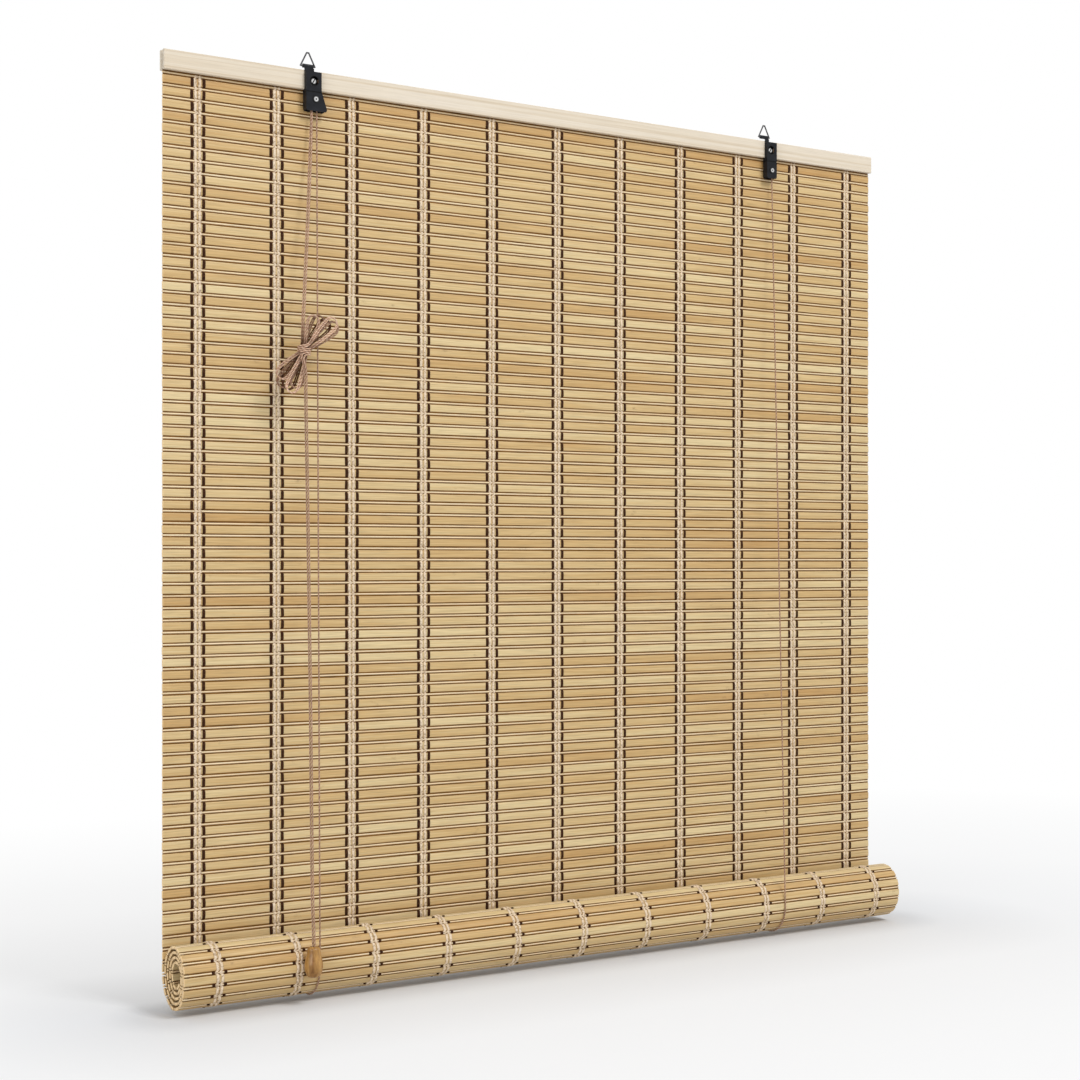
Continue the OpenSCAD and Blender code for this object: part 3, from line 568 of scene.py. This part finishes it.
def paint(name, deep, light, rough, heads=(), crease=None):
    """Satin paint. Each head is X, Z, inner and outer radius of a painted shade ring; crease is its Z."""
    g = Graph(name, rough)
    cloud = g.noise((160, 160, 160), 3)
    peel = g.noise((1600, 1600, 1600), 2)
    colour = g.ramp(cloud, (0.3, deep), (0.7, light))
    # Painted shade in a ring round each rivet and screw hole.
    for x, z, inner, outer in heads:
        r = radius(g, *from_point(g, x, z))
        ring = g.ramp(r, (inner / 10 - 0.01, 0.25), (inner / 10 + 0.03, 0.25), (outer / 10, 1.0))
        colour = g.mix(1.0, colour, ring, "MULTIPLY")
    if crease is not None:
        # Painted shade along the crease.
        far = g.math("DIVIDE", g.math("ABSOLUTE", from_point(g, 0, crease)[1]), 10)
        colour = g.mix(1.0, colour, g.ramp(far, (0.05, 0.2), (0.1, 1.0)), "MULTIPLY")
    satin = g.math("ADD", rough - 0.08, g.math("MULTIPLY", cloud, 0.16))
    return g.finish(colour, peel, 0.12, 0.0002, satin, Specular_IOR_Level=0.2)


def zinc(name, x=None, z=None, slot=0.0):
    """Bright zinc; where the head's axis is given, the rim, the bore and a screw's slot get painted shade.
    """
    g = Graph(name, 0.28)
    scratch = g.noise((700, 700, 5200), 3)
    colour = g.ramp(scratch, (0.3, (0.45, 0.45, 0.45)), (0.7, (0.75, 0.75, 0.74)))
    if x is not None:
        dx, dz = from_point(g, x, z)
        # Painted shade: dark in the bore, full zinc in the middle, dark on the rim.
        rim = g.ramp(radius(g, dx, dz), (0.05, 0.3), (0.09, 1.0), (0.18, 0.9), (0.23, 0.12))
        colour = g.mix(1.0, colour, rim, "MULTIPLY")
        if slot:
            # Painted shade in the screw's slot.
            across = g.math("ADD", g.math("MULTIPLY", dx, 0.866), g.math("MULTIPLY", dz, -0.5))
            far = g.math("DIVIDE", g.math("ABSOLUTE", across), 10)
            line = g.ramp(far, (slot / 20, 0.04), (slot / 20 + 0.03, 1.0))
            colour = g.mix(1.0, colour, line, "MULTIPLY")
    rough = g.math("ADD", 0.2, g.math("MULTIPLY", scratch, 0.2))
    return g.finish(colour, scratch, 0.08, 0.0001, rough, Metallic=1.0)


sheet_paint = ((0.003, 0.0035, 0.0055), (0.009, 0.0105, 0.0145), 0.38)
lock_heads = ((LOCK_X, LOCK_Z, *RIVET_SHADE_RING), (LOCK_SCREW, SCREW_Z, *SCREW_SHADE_RING))
guide_heads = ((GUIDE_X, GUIDE_Z, *RIVET_SHADE_RING), (GUIDE_SCREW, SCREW_Z, *SCREW_SHADE_RING))
lock_mat = paint("lock_sheet", *sheet_paint, lock_heads, LOCK_CREASE)
guide_mat = paint("guide_sheet", *sheet_paint, guide_heads, GUIDE_CREASE)
wire_mat = paint("dark_wire", (0.06, 0.06, 0.063), (0.11, 0.11, 0.115), 0.35)
nylon_mat = paint("black_nylon", (0.012, 0.012, 0.012), (0.025, 0.025, 0.025), 0.5)
plain_zinc = zinc("bright_zinc")
print("finishes of the fittings:", lock_mat.name, guide_mat.name, wire_mat.name, nylon_mat.name)

# %% [markdown]
# Each metal or plastic piece now gets its finish. The folded sheet and the heads also get softly broken
# edges, which catch the light as worn paint and turned zinc do.

# %% Dress the fittings
metal_dress = {
    "lock_strap": (lock_mat, SHEET_BEVEL), "lock_housing": (lock_mat, SHEET_BEVEL),
    "guide_strap": (guide_mat, SHEET_BEVEL), "guide_housing": (guide_mat, SHEET_BEVEL),
    "left_ring": (wire_mat, 0.0), "right_ring": (wire_mat, 0.0),
    "lock_roller": (nylon_mat, 0.0), "guide_roller": (nylon_mat, 0.0), "lock_pawl": (nylon_mat, 0.0),
    "lock_pawl_pin": (plain_zinc, HEAD_BEVEL), "lath_brads": (plain_zinc, HEAD_BEVEL),
    "lock_rivet": (zinc("lock_rivet_zinc", LOCK_X, LOCK_Z), HEAD_BEVEL),
    "guide_rivet": (zinc("guide_rivet_zinc", GUIDE_X, GUIDE_Z), HEAD_BEVEL),
    "lock_screw": (zinc("lock_screw_zinc", LOCK_SCREW, SCREW_Z, SLOT_W), HEAD_BEVEL),
    "guide_screw": (zinc("guide_screw_zinc", GUIDE_SCREW, SCREW_Z, SLOT_W), HEAD_BEVEL),
}
for node, (material, bevel) in metal_dress.items():
    dress(node, material, bevel)
print(len(metal_dress), "metal and plastic pieces dressed")

# %% [markdown]
# A cord is an outline carried along a path. The path is a smooth curve through a few points, and it is
# then cut into even steps, so that the twist of the cord is even too. Two directions square to the path
# go along with it. They are carried from point to point, which keeps the tube from turning over.

# %% Paths
def smooth_path(points, step):
    """Curve through the points (Catmull-Rom, centripetal), sampled about every `step` millimetres.

    Between two points the curve is a cubic whose end slopes come from the points on both sides.
    """
    points = np.asarray(points, dtype=float)
    ends = np.vstack([2 * points[0] - points[1], points, 2 * points[-1] - points[-2]])
    knots = np.concatenate([[0], np.cumsum(np.linalg.norm(np.diff(ends, axis=0), axis=1) ** 0.5)])
    chunks = []
    for i in range(1, len(ends) - 2):
        t0, t1, t2, t3 = knots[i - 1:i + 3]
        p0, p1, p2, p3 = ends[i - 1:i + 3]
        t = np.linspace(t1, t2, max(2, int(np.linalg.norm(p2 - p1) / step) + 1), endpoint=False)[:, None]
        a1 = (t1 - t) / (t1 - t0) * p0 + (t - t0) / (t1 - t0) * p1
        a2 = (t2 - t) / (t2 - t1) * p1 + (t - t1) / (t2 - t1) * p2
        a3 = (t3 - t) / (t3 - t2) * p2 + (t - t2) / (t3 - t2) * p3
        b1 = (t2 - t) / (t2 - t0) * a1 + (t - t0) / (t2 - t0) * a2
        b2 = (t3 - t) / (t3 - t1) * a2 + (t - t1) / (t3 - t1) * a3
        chunks.append((t2 - t) / (t2 - t1) * b1 + (t - t1) / (t2 - t1) * b2)
    return np.vstack(chunks + [points[-1:]])


def even_path(points, step):
    """The same line with points at even distances, by linear steps along its length.

    Columns after the third, where there are any, go along with the points.
    """
    lengths = np.concatenate([[0], np.cumsum(np.linalg.norm(np.diff(points[:, :3], axis=0), axis=1))])
    marks = np.linspace(0, lengths[-1], int(lengths[-1] / step) + 2)
    return np.stack([np.interp(marks, lengths, column) for column in points.T], axis=1), marks


def path_frames(path):
    """Two directions square to the path at each point, carried along it without twist."""
    along = np.gradient(path, axis=0)
    along /= np.linalg.norm(along, axis=1)[:, None]
    side = np.zeros_like(path)
    first = np.cross(along[0], [0.3, 0.9, 0.2])
    side[0] = first / np.linalg.norm(first)
    for i in range(1, len(path)):
        s = side[i - 1] - along[i] * (side[i - 1] @ along[i])
        side[i] = s / np.linalg.norm(s)
    return side, np.cross(along, side)


def line_length(points):
    """Sum of the distances from each point to the next."""
    return float(np.linalg.norm(np.diff(points, axis=0), axis=1).sum())


sample = smooth_path([[10, 0, 0], [7.07, 7.07, 0], [0, 10, 0], [-7.07, 7.07, 0]], 0.5)
print("a line through four points of a circle of radius 10 is", round(line_length(sample), 1), "mm long")

# %% [markdown]
# The cords are twisted cotton, about one and a half millimetres thick. A plain round tube would look like
# wire, so the outline is two plies that turn round each other along the cord, with painted shade in the
# grooves between them. A path may also carry a brightness, which mixes in deep brown: painted shade on
# cord that lies deep in the hank, and a set level along cord that hangs free.

# %% Cord
CORD_D, CORD_STEP, CORD_COLS, PLY_LENGTH, FREE_SHADE = 1.5, 0.85, 8, 3.6, 0.6
CORD_DEEP = (0.075, 0.022, 0.005)


def cord_material():
    """Cotton: painted shade in the grooves between the plies and a fine noise give the light and dark, and
    the brightness mixes in deep brown.
    """
    g = Graph("cotton_cord", 0.85)
    hairs = g.noise((1300, 1300, 1300), 3)
    patch = g.noise((60, 60, 60), 2)
    # Painted shade: a low ply number darkens the grooves between the plies.
    value = g.math("ADD", g.math("MULTIPLY", g.attribute("ply"), 0.4), g.math("MULTIPLY", hairs, 0.6))
    base = g.ramp(value, (0.2, (0.26, 0.11, 0.06)), (0.45, (0.58, 0.36, 0.24)), (0.8, (0.88, 0.66, 0.51)))
    colour = g.mix(1.0, base, g.ramp(patch, (0.3, 0.86), (0.7, 1.1)), "MULTIPLY")
    # Painted shade: the brightness mixes in deep brown, most on the rear turns of the hank and near its tie.
    colour = g.mix(g.attribute("shade"), CORD_DEEP, colour)
    return g.finish(colour, hairs, 0.4, 0.0002, Specular_IOR_Level=0.05)


cord_mat = cord_material()


def cord_tube(name, paths, replaces=()):
    """Two-ply cord along each path: radius R * (0.92 + 0.08 * cos(2 * (angle - turn))).

    The plies go half round the cord in PLY_LENGTH. A fourth column of the path is its brightness, which is
    FREE_SHADE where the column is left out.
    """
    points, faces, plies, shades, lines, base = [], [], [], [], [], 0
    turn = np.arange(CORD_COLS) * 2 * np.pi / CORD_COLS
    for path in paths:
        line, marks = even_path(path, CORD_STEP)
        shade = line[:, 3] if line.shape[1] > 3 else np.full(len(line), FREE_SHADE)
        line = line[:, :3]
        side, up = path_frames(line)
        phase = 2 * np.pi * marks / (2 * PLY_LENGTH)
        bulge = np.cos(2 * (turn[None] - phase[:, None]))
        r = CORD_D / 2 * (0.92 + 0.08 * bulge)
        tube = (line[:, None] + (r * np.cos(turn))[..., None] * side[:, None]
                + (r * np.sin(turn))[..., None] * up[:, None])
        points.append(tube.reshape(-1, 3))
        faces.append(grid_faces(1, len(line), CORD_COLS) + base)
        plies.append((0.5 + 0.5 * bulge).ravel())
        shades.append(np.repeat(np.clip(shade, 0, 1), CORD_COLS))
        lines.append(line)
        base += len(line) * CORD_COLS
    obj = make_mesh(name, np.vstack(points), np.vstack(faces), cord_mat, "cord", replaces,
                    ply=np.concatenate(plies), shade=np.concatenate(shades))
    return obj, lines


print("cord of", CORD_D, "mm in", cord_mat.name)

# %% [markdown]
# The lift cords run the whole way that the CAD gives them: over the rollers, down the front, under the
# roll and up behind the mat to the headrail. The right one first crosses the blind in the slot between
# the two laths, out of sight.

# %% Lift cords
FRONT_LANE, REAR_LANE, CLIMB_Y, RUN_Z, DRUM = -11.65, -9.85, -12.0, 6.1, 2.75
CORD_GAP = 0.2
LIFT_OUT = SLAT_T / 2 + CORD_GAP + CORD_D / 2
LOCK_CORD, LOCK_FOOT, LIFT_TOP = LOCK_X - DRUM, -27.5, 1
LEFT_X, RIGHT_X = WARPS[1] + WARP_PITCH / 4, WARPS[8] + WARP_PITCH * 0.31


def straight(a, b, count):
    """Evenly spaced points from a to b."""
    return np.linspace(np.asarray(a, float), np.asarray(b, float), count)


def under_and_up(x):
    """From where the cord meets the front of the roll, under it to the back, and up behind the mat."""
    angle = np.linspace(184, 0, 60)
    under = np.column_stack([np.full(60, x), spiral(angle, np.full(60, LIFT_OUT))])
    rear = MAT_Y + LIFT_OUT
    return np.vstack([under, straight((x, rear, ROLL_Z), (x, rear, LIFT_TOP), 40)[1:]])


half_turn = np.radians(np.linspace(180, 0, 25))
over = np.column_stack([LOCK_X + DRUM * np.cos(half_turn), np.full(25, REAR_LANE),
                        LOCK_Z + DRUM * np.sin(half_turn)])
to_roller = straight((LOCK_CORD, REAR_LANE, LOCK_FOOT), over[0], 8)[:-1]
cord_tube("left_lift", [np.vstack([to_roller, over, under_and_up(LEFT_X)])], ("left_lift_cord",))

lock_rise = np.array([[LOCK_CORD, FRONT_LANE, LOCK_FOOT], [LOCK_CORD, FRONT_LANE, LOCK_Z],
                      [LOCK_CORD + 0.2, FRONT_LANE, LOCK_Z + 1.4],
                      [LOCK_CORD + 1.2, FRONT_LANE, LOCK_Z + 2.7]])
lock_climb = np.array([[10.8, CLIMB_Y, -9.5], [12.4, CLIMB_Y, -5.5], [12.9, CLIMB_Y, 1],
                       [12.7, CLIMB_Y + 0.1, 4.2], [12.5, CLIMB_Y + 0.6, 5.5], [12.4, CLIMB_Y + 1.6, 6.15],
                       [12.4, CLIMB_Y + 2.8, RUN_Z], [12.5, MAT_Y - 2.6, RUN_Z], [13.3, MAT_Y - 0.9, RUN_Z],
                       [14.8, MAT_Y, RUN_Z], [17, MAT_Y, RUN_Z]]) + [LOCK_LEFT, 0, 0]
guide_climb = np.array([[3.4, MAT_Y, RUN_Z], [6, MAT_Y, RUN_Z], [7.8, MAT_Y - 0.8, RUN_Z],
                        [8.8, MAT_Y - 2.4, RUN_Z], [9.1, CLIMB_Y + 2.8, RUN_Z], [9.2, CLIMB_Y + 1.6, 6.15],
                        [9.4, CLIMB_Y + 0.6, 5.5], [10.2, CLIMB_Y + 0.1, 3.4], [10.6, CLIMB_Y, 0],
                        [10.4, CLIMB_Y, -9.5]]) + [GUIDE_LEFT, 0, 0]
right_path = np.vstack([smooth_path(np.vstack([lock_rise, lock_climb]), 0.5), smooth_path(guide_climb, 0.5),
                        [[GUIDE_X + DRUM, REAR_LANE, GUIDE_Z]], under_and_up(RIGHT_X)])
cord_tube("right_lift", [right_path], ("right_lift_cord",))

# %% [markdown]
# The spare length of the pull cord is wound into a hank, like a long ring that is drawn in at the middle:
# one layer for each turn, with the ends of the layers fanned out. Two wraps round the middle tie it. The
# whole length of the cord lies in its turns. The rear layers and the parts near the tie get little light,
# so the points of the path carry a brightness.

# %% Turns and wraps of the hank
HANK = np.array([-280.2, -31.0, -241.0])
LEAN = math.radians(39)
AXIS = np.array([math.sin(LEAN), 0, math.cos(LEAN)])
ACROSS = np.array([math.cos(LEAN), 0, -math.sin(LEAN)])
DEPTH = np.array([0.0, 1.0, 0.0])
LAYERS, LAYER_T = 5, 1.65
WRAP_TURNS, WRAP_WIDE, WRAP_DEEP, WRAP_PITCH, WRAP_START = 1.75, 5.0, 6.4, 3.4, -1.2


def hank_turn(layer, half, end_r, upper_fan, lower_fan, upper_l, lower_l):
    """One turn of the hank from the left of the waist, down, round the lower end, up, round the upper end.

    A side stands `half` from the axis at the waist and swings out to `end_r` at the end, where the cord
    goes round a half circle. Each end is turned about the waist by its fan angle. The layers go from the
    back to the front. The brightness in the fourth column falls towards the rear layers and the tie.
    """
    def lobe(length, fan, sense):
        p = np.array([0.2, 0.45, 0.74, 1.0]) * (length - end_r)
        w = half + (end_r - half) * np.sin(np.pi / 2 * p / (length - end_r)) ** 1.5
        arc = np.radians(np.array([30, 60, 90, 120, 150]))
        q = np.concatenate([-w, -end_r * np.cos(arc), w[::-1]])
        d = np.concatenate([p, length - end_r + end_r * np.sin(arc), p[::-1]])
        c, s = math.cos(fan), math.sin(fan)
        return np.column_stack([q * c + d * s, sense * (d * c - q * s)])

    flat = np.vstack([[[-half, 0]], lobe(lower_l, lower_fan, -1),
                      [[half, 0]], lobe(upper_l, upper_fan, 1)[::-1]])
    y = LAYER_T * ((LAYERS - 1) / 2 - layer - np.linspace(0, 1, len(flat)) ** 3)
    clear = np.clip((np.abs(flat[:, 1]) - 3) / 9, 0, 1)
    # Painted shade: the rear layers and the cord near the tie mix towards deep brown.
    shade = (0.1 + 0.9 * layer / (LAYERS - 1)) * (0.25 + 0.75 * clear)
    return np.column_stack([HANK + flat[:, :1] * ACROSS + flat[:, 1:] * AXIS + y[:, None] * DEPTH, shade])


def hank_wraps(height):
    """Level oval helix round the waist from its front left, by the back, and downwards.

    Before it lies one point further right, so that the cord comes into the first wrap without a kink.
    """
    a = np.linspace(WRAP_START, WRAP_TURNS * 2 * np.pi, int(WRAP_TURNS * 16) + 3)
    z = height - WRAP_PITCH * a / (2 * np.pi)
    helix = HANK + np.column_stack([-WRAP_WIDE * np.cos(a), WRAP_DEEP * np.sin(a), z])
    return np.vstack([helix[:1] + [2.4, -0.3, 1.2], helix])


def lit(points, level):
    """The same points with one brightness for all in a fourth column."""
    return np.column_stack([points, np.full(len(points), level)])


print("hank of", LAYERS, "turns, tied by", WRAP_TURNS, "wraps")

# %% [markdown]
# The pull cord has two strands. They come down side by side from the lock, go through the hank together,
# one outside the other, and end in a knot inside the wooden knob. The bends are kept wider than three
# millimetres, because soft cord of this thickness doesn't lie tighter by itself.

# %% Pull cord
FROM_LOCK = np.array([[LOCK_CORD, -10.75, LOCK_FOOT], [LOCK_CORD, -10.75, -31.5], [-265, -12.5, -60],
                      [-269, -16.5, -110], [-274, -21.5, -165], [-278.6, -26, -210]])
OUT_OF_WRAPS = np.array([[-2.8, -0.3, -0.8], [-4.7, -0.8, -3.4]])
TO_KNOB = np.array([[-282.4, -38, -259], [-282, -38, -277], [-281.8, -38.3, -300], [-282, -40.5, -345],
                    [-282.5, -44.5, -430], [-283.5, -50, -540], [-285, -55.5, -650], [-286, -59.3, -715],
                    [-286, -61.5, -743], [-286, -61.5, -771.5]])
FANS = np.radians(np.array([[3, 14], [-10, 4], [13, 24], [-22, -7], [6, 17]]))
ENDS = np.array([[37, 37], [35, 39], [40, 34], [32, 35], [40, 40]])


def pull_strand(strand, half, end_r):
    """Path of one strand: down from the lock, the turns, the wraps, and down to the knob."""
    shift = np.array([-0.5 * strand, 0.9 * strand, 0])
    down = FROM_LOCK + shift
    down[:2, 0] = LOCK_CORD
    turns = [hank_turn(i, half, end_r, *FANS[i], *ENDS[i]) for i in range(LAYERS)]
    wraps = hank_wraps(2.6 + 0.85 * strand)
    leave = wraps[-1] + OUT_OF_WRAPS + shift
    tied = [lit(wraps, 1.0), lit(leave, 0.9), lit(TO_KNOB + shift, 0.65)]
    return smooth_path(np.vstack([lit(down, 0.75)] + turns + tied), 0.6)


strands = [pull_strand(1, 2.5, 6.2), pull_strand(-1, 0.85, 4.6)]
pull, pull_lines = cord_tube("pull_cord_strands", strands, ("pull_cord", "cord_hank"))

# %% [markdown]
# The knob is turned from a golden hardwood and varnished. It is a surface of revolution: the radius
# swells from the neck to the belly and closes round the bored end. The knot inside it is a CAD piece,
# which takes the cord's material, so it needs the same two numbers on its points.

# %% Knob
BELLY, NECK, KNOB_H, BORE, POCKET, POCKET_TOP = 8.0, 5.76, 26.0, 1.9, 3.3, 6.5
KNOB_PLACE, KNOB_SIDES = (-286, -61.5, -778), 40
KNOT_SHADE = 0.8


def knob_material():
    """Varnished wood: grain along Z from golden to brown, under a thin glossy coat."""
    g = Graph("varnished_knob", 0.25)
    grain = g.noise((260, 260, 40), 3, 0.55)
    fine = g.noise((2200, 2200, 240), 2)
    base = g.ramp(grain, (0.3, (0.55, 0.3, 0.085)), (0.7, (0.2, 0.08, 0.013)))
    colour = g.mix(1.0, base, g.ramp(fine, (0.3, 0.8), (0.6, 1.05)), "MULTIPLY")
    return g.finish(colour, fine, 0.05, 0.0002, Coat_Weight=0.45, Coat_Roughness=0.16,
                    Specular_IOR_Level=0.2)


def knob_profile():
    """Radius and height from the rim of the bore at the bottom to the rim at the neck, then down the bore.

    The lower end is a quarter of an oval, the body a half wave from belly to neck, and the top a quarter
    circle.
    """
    swell, crown = 0.38 * KNOB_H, 0.88 * KNOB_H
    a = np.radians(np.linspace(0, 90, 14))
    foot = np.column_stack([BELLY * (0.45 + 0.55 * np.sin(a)), swell * (1 - np.cos(a))])
    a = np.radians(np.linspace(0, 180, 22)[1:])
    body = np.column_stack([(BELLY + NECK) / 2 + (BELLY - NECK) / 2 * np.cos(a),
                            swell + (crown - swell) * a / np.pi])
    a = np.radians(np.linspace(0, 90, 8)[1:])
    top = np.column_stack([NECK - (KNOB_H - crown) * (1 - np.cos(a)), crown + (KNOB_H - crown) * np.sin(a)])
    bore = np.array([[BORE, KNOB_H], [BORE, POCKET_TOP], [POCKET, POCKET_TOP], [POCKET, 0]])
    return np.vstack([foot, body, top, bore, foot[:1]])


profile = knob_profile()
spin = np.arange(KNOB_SIDES) * 2 * np.pi / KNOB_SIDES
turned = np.stack([np.outer(profile[:, 0], np.cos(spin)), np.outer(profile[:, 0], np.sin(spin)),
                   np.repeat(profile[:, 1:], KNOB_SIDES, axis=1)], axis=-1)
knob = make_mesh("turned_knob", turned + KNOB_PLACE, grid_faces(1, len(turned), KNOB_SIDES, caps=False),
                 knob_material(), "turned_wood", ("pull_knob",))
knot = dress("cord_knot", cord_mat)
knot_values = np.full(len(knot.data.vertices), KNOT_SHADE, dtype=np.float32)
for key in ("ply", "shade"):
    knot.data.attributes.new(key, "FLOAT", "POINT").data.foreach_set("value", knot_values)

# %% [markdown]
# Both strands leave the lock side by side and stay together, with the knob and its knot at the far end.

# %% [markdown]
# The photo is a studio picture on white. A large pale floor lies just under the roll. It keeps the shadow
# near the blind, and away from it the floor shows more and more of plain white, but only to the camera
# and to mirrors and glass, so that no extra light falls on the blind.

# %% Floor
FLOOR_Z, FLOOR_FRONT, FLOOR_BACK, FLOOR_LEFT, FLOOR_RIGHT = -0.8035, -6, 20, -12, 14
BLIND_HALF, BLIND_Y, FADE = 0.4, -0.03, 1.2
WHITE_SHARE = ((0.0, 0.0), (0.025, 0.05), (0.05, 0.35), (0.16, 0.66), (0.4, 0.82), (1.0, 1.0))


def seen_directly(tree):
    """One for the camera's rays and for rays that metal or varnish reflects, and zero for the light's."""
    path = tree.nodes.new("ShaderNodeLightPath")
    seen = path.outputs["Is Camera Ray"]
    for kind in ("Is Glossy Ray", "Is Transmission Ray"):
        either = tree.nodes.new("ShaderNodeMath")
        either.operation = "MAXIMUM"
        tree.links.new(seen, either.inputs[0])
        tree.links.new(path.outputs[kind], either.inputs[1])
        seen = either.outputs[0]
    return seen


def floor_material():
    """Pale grey floor, mixed with white by the distance from the blind's foot, where it is seen directly."""
    g = Graph("floor", 0.7)
    cloud = g.noise((3, 3, 3), 2)
    colour = g.ramp(cloud, (0.3, (0.735, 0.747, 0.765)), (0.7, (0.75, 0.762, 0.78)))
    g.finish(colour, Specular_IOR_Level=0.1)
    split = g.tree.nodes.new("ShaderNodeSeparateXYZ")
    g.tree.links.new(g.coords((1, 1, 1)), split.inputs[0])
    dx = g.math("MAXIMUM", g.math("SUBTRACT", g.math("ABSOLUTE", split.outputs["X"]), BLIND_HALF), 0.0)
    dy = g.math("SUBTRACT", split.outputs["Y"], BLIND_Y)
    away = g.math("SQRT", g.math("ADD", g.math("MULTIPLY", dx, dx), g.math("MULTIPLY", dy, dy)))
    share = g.ramp(g.math("DIVIDE", away, FADE), *WHITE_SHARE)
    white = g.tree.nodes.new("ShaderNodeEmission")
    blend = g.tree.nodes.new("ShaderNodeMixShader")
    g.put(g.math("MULTIPLY", share, seen_directly(g.tree)), blend.inputs[0])
    g.tree.links.new(g.bsdf.outputs[0], blend.inputs[1])
    g.tree.links.new(white.outputs[0], blend.inputs[2])
    g.tree.links.new(blend.outputs[0], g.tree.nodes["Material Output"].inputs["Surface"])
    return g.mat


floor_mesh = bpy.data.meshes.new("floor")
floor_mesh.from_pydata([(FLOOR_LEFT, FLOOR_FRONT, FLOOR_Z), (FLOOR_RIGHT, FLOOR_FRONT, FLOOR_Z),
                        (FLOOR_RIGHT, FLOOR_BACK, FLOOR_Z), (FLOOR_LEFT, FLOOR_BACK, FLOOR_Z)],
                       [], [(0, 1, 2, 3)])
floor_mesh.materials.append(floor_material())
floor = bpy.data.objects.new("floor", floor_mesh)
bpy.context.scene.collection.objects.link(floor)

# %% [markdown]
# One broad light from the right and above gives the slats their soft shading. A larger and weaker one from
# the left opens the shadow at the roll's end, and a pale sky fills the rest. The sky is shown as white to
# the camera and to reflections only.

# %% Light and sky
AIM, SKY, WHITE = (0, 0, -0.4), (0.55, 0.55, 0.555, 1), (1, 1, 1, 1)


def area_light(name, place, size, power):
    """Square light at a place, turned so that it looks at AIM: first pitch, then yaw."""
    data = bpy.data.lights.new(name, "AREA")
    data.shape = "RECTANGLE"
    data.size = data.size_y = size
    data.energy = power
    obj = bpy.data.objects.new(name, data)
    bpy.context.scene.collection.objects.link(obj)
    obj.location = place
    aim = np.subtract(AIM, place)
    yaw, pitch = math.atan2(aim[1], aim[0]), math.atan2(aim[2], math.hypot(aim[0], aim[1]))
    obj.rotation_euler = (math.pi / 2 + pitch, 0, yaw - math.pi / 2)
    print(name, "light of", power, "W at", round(float(np.linalg.norm(aim)), 1), "m")


area_light("key", (0.85, -2.8, 2.8), 1.2, 88)
area_light("fill", (-3.4, -1.7, 0.3), 2.4, 38)
world = bpy.data.worlds.new("studio")
bpy.context.scene.world = world
world.use_nodes = True
sky_tree = world.node_tree
sky = sky_tree.nodes.new("ShaderNodeMix")
sky.data_type = "RGBA"
sky.inputs[6].default_value = SKY
sky.inputs[7].default_value = WHITE
sky_tree.links.new(seen_directly(sky_tree), sky.inputs["Factor"])
sky_tree.links.new(sky.outputs[2], sky_tree.nodes["Background"].inputs["Color"])
bpy.context.scene.view_settings.view_transform = "Standard"

# %% [markdown]
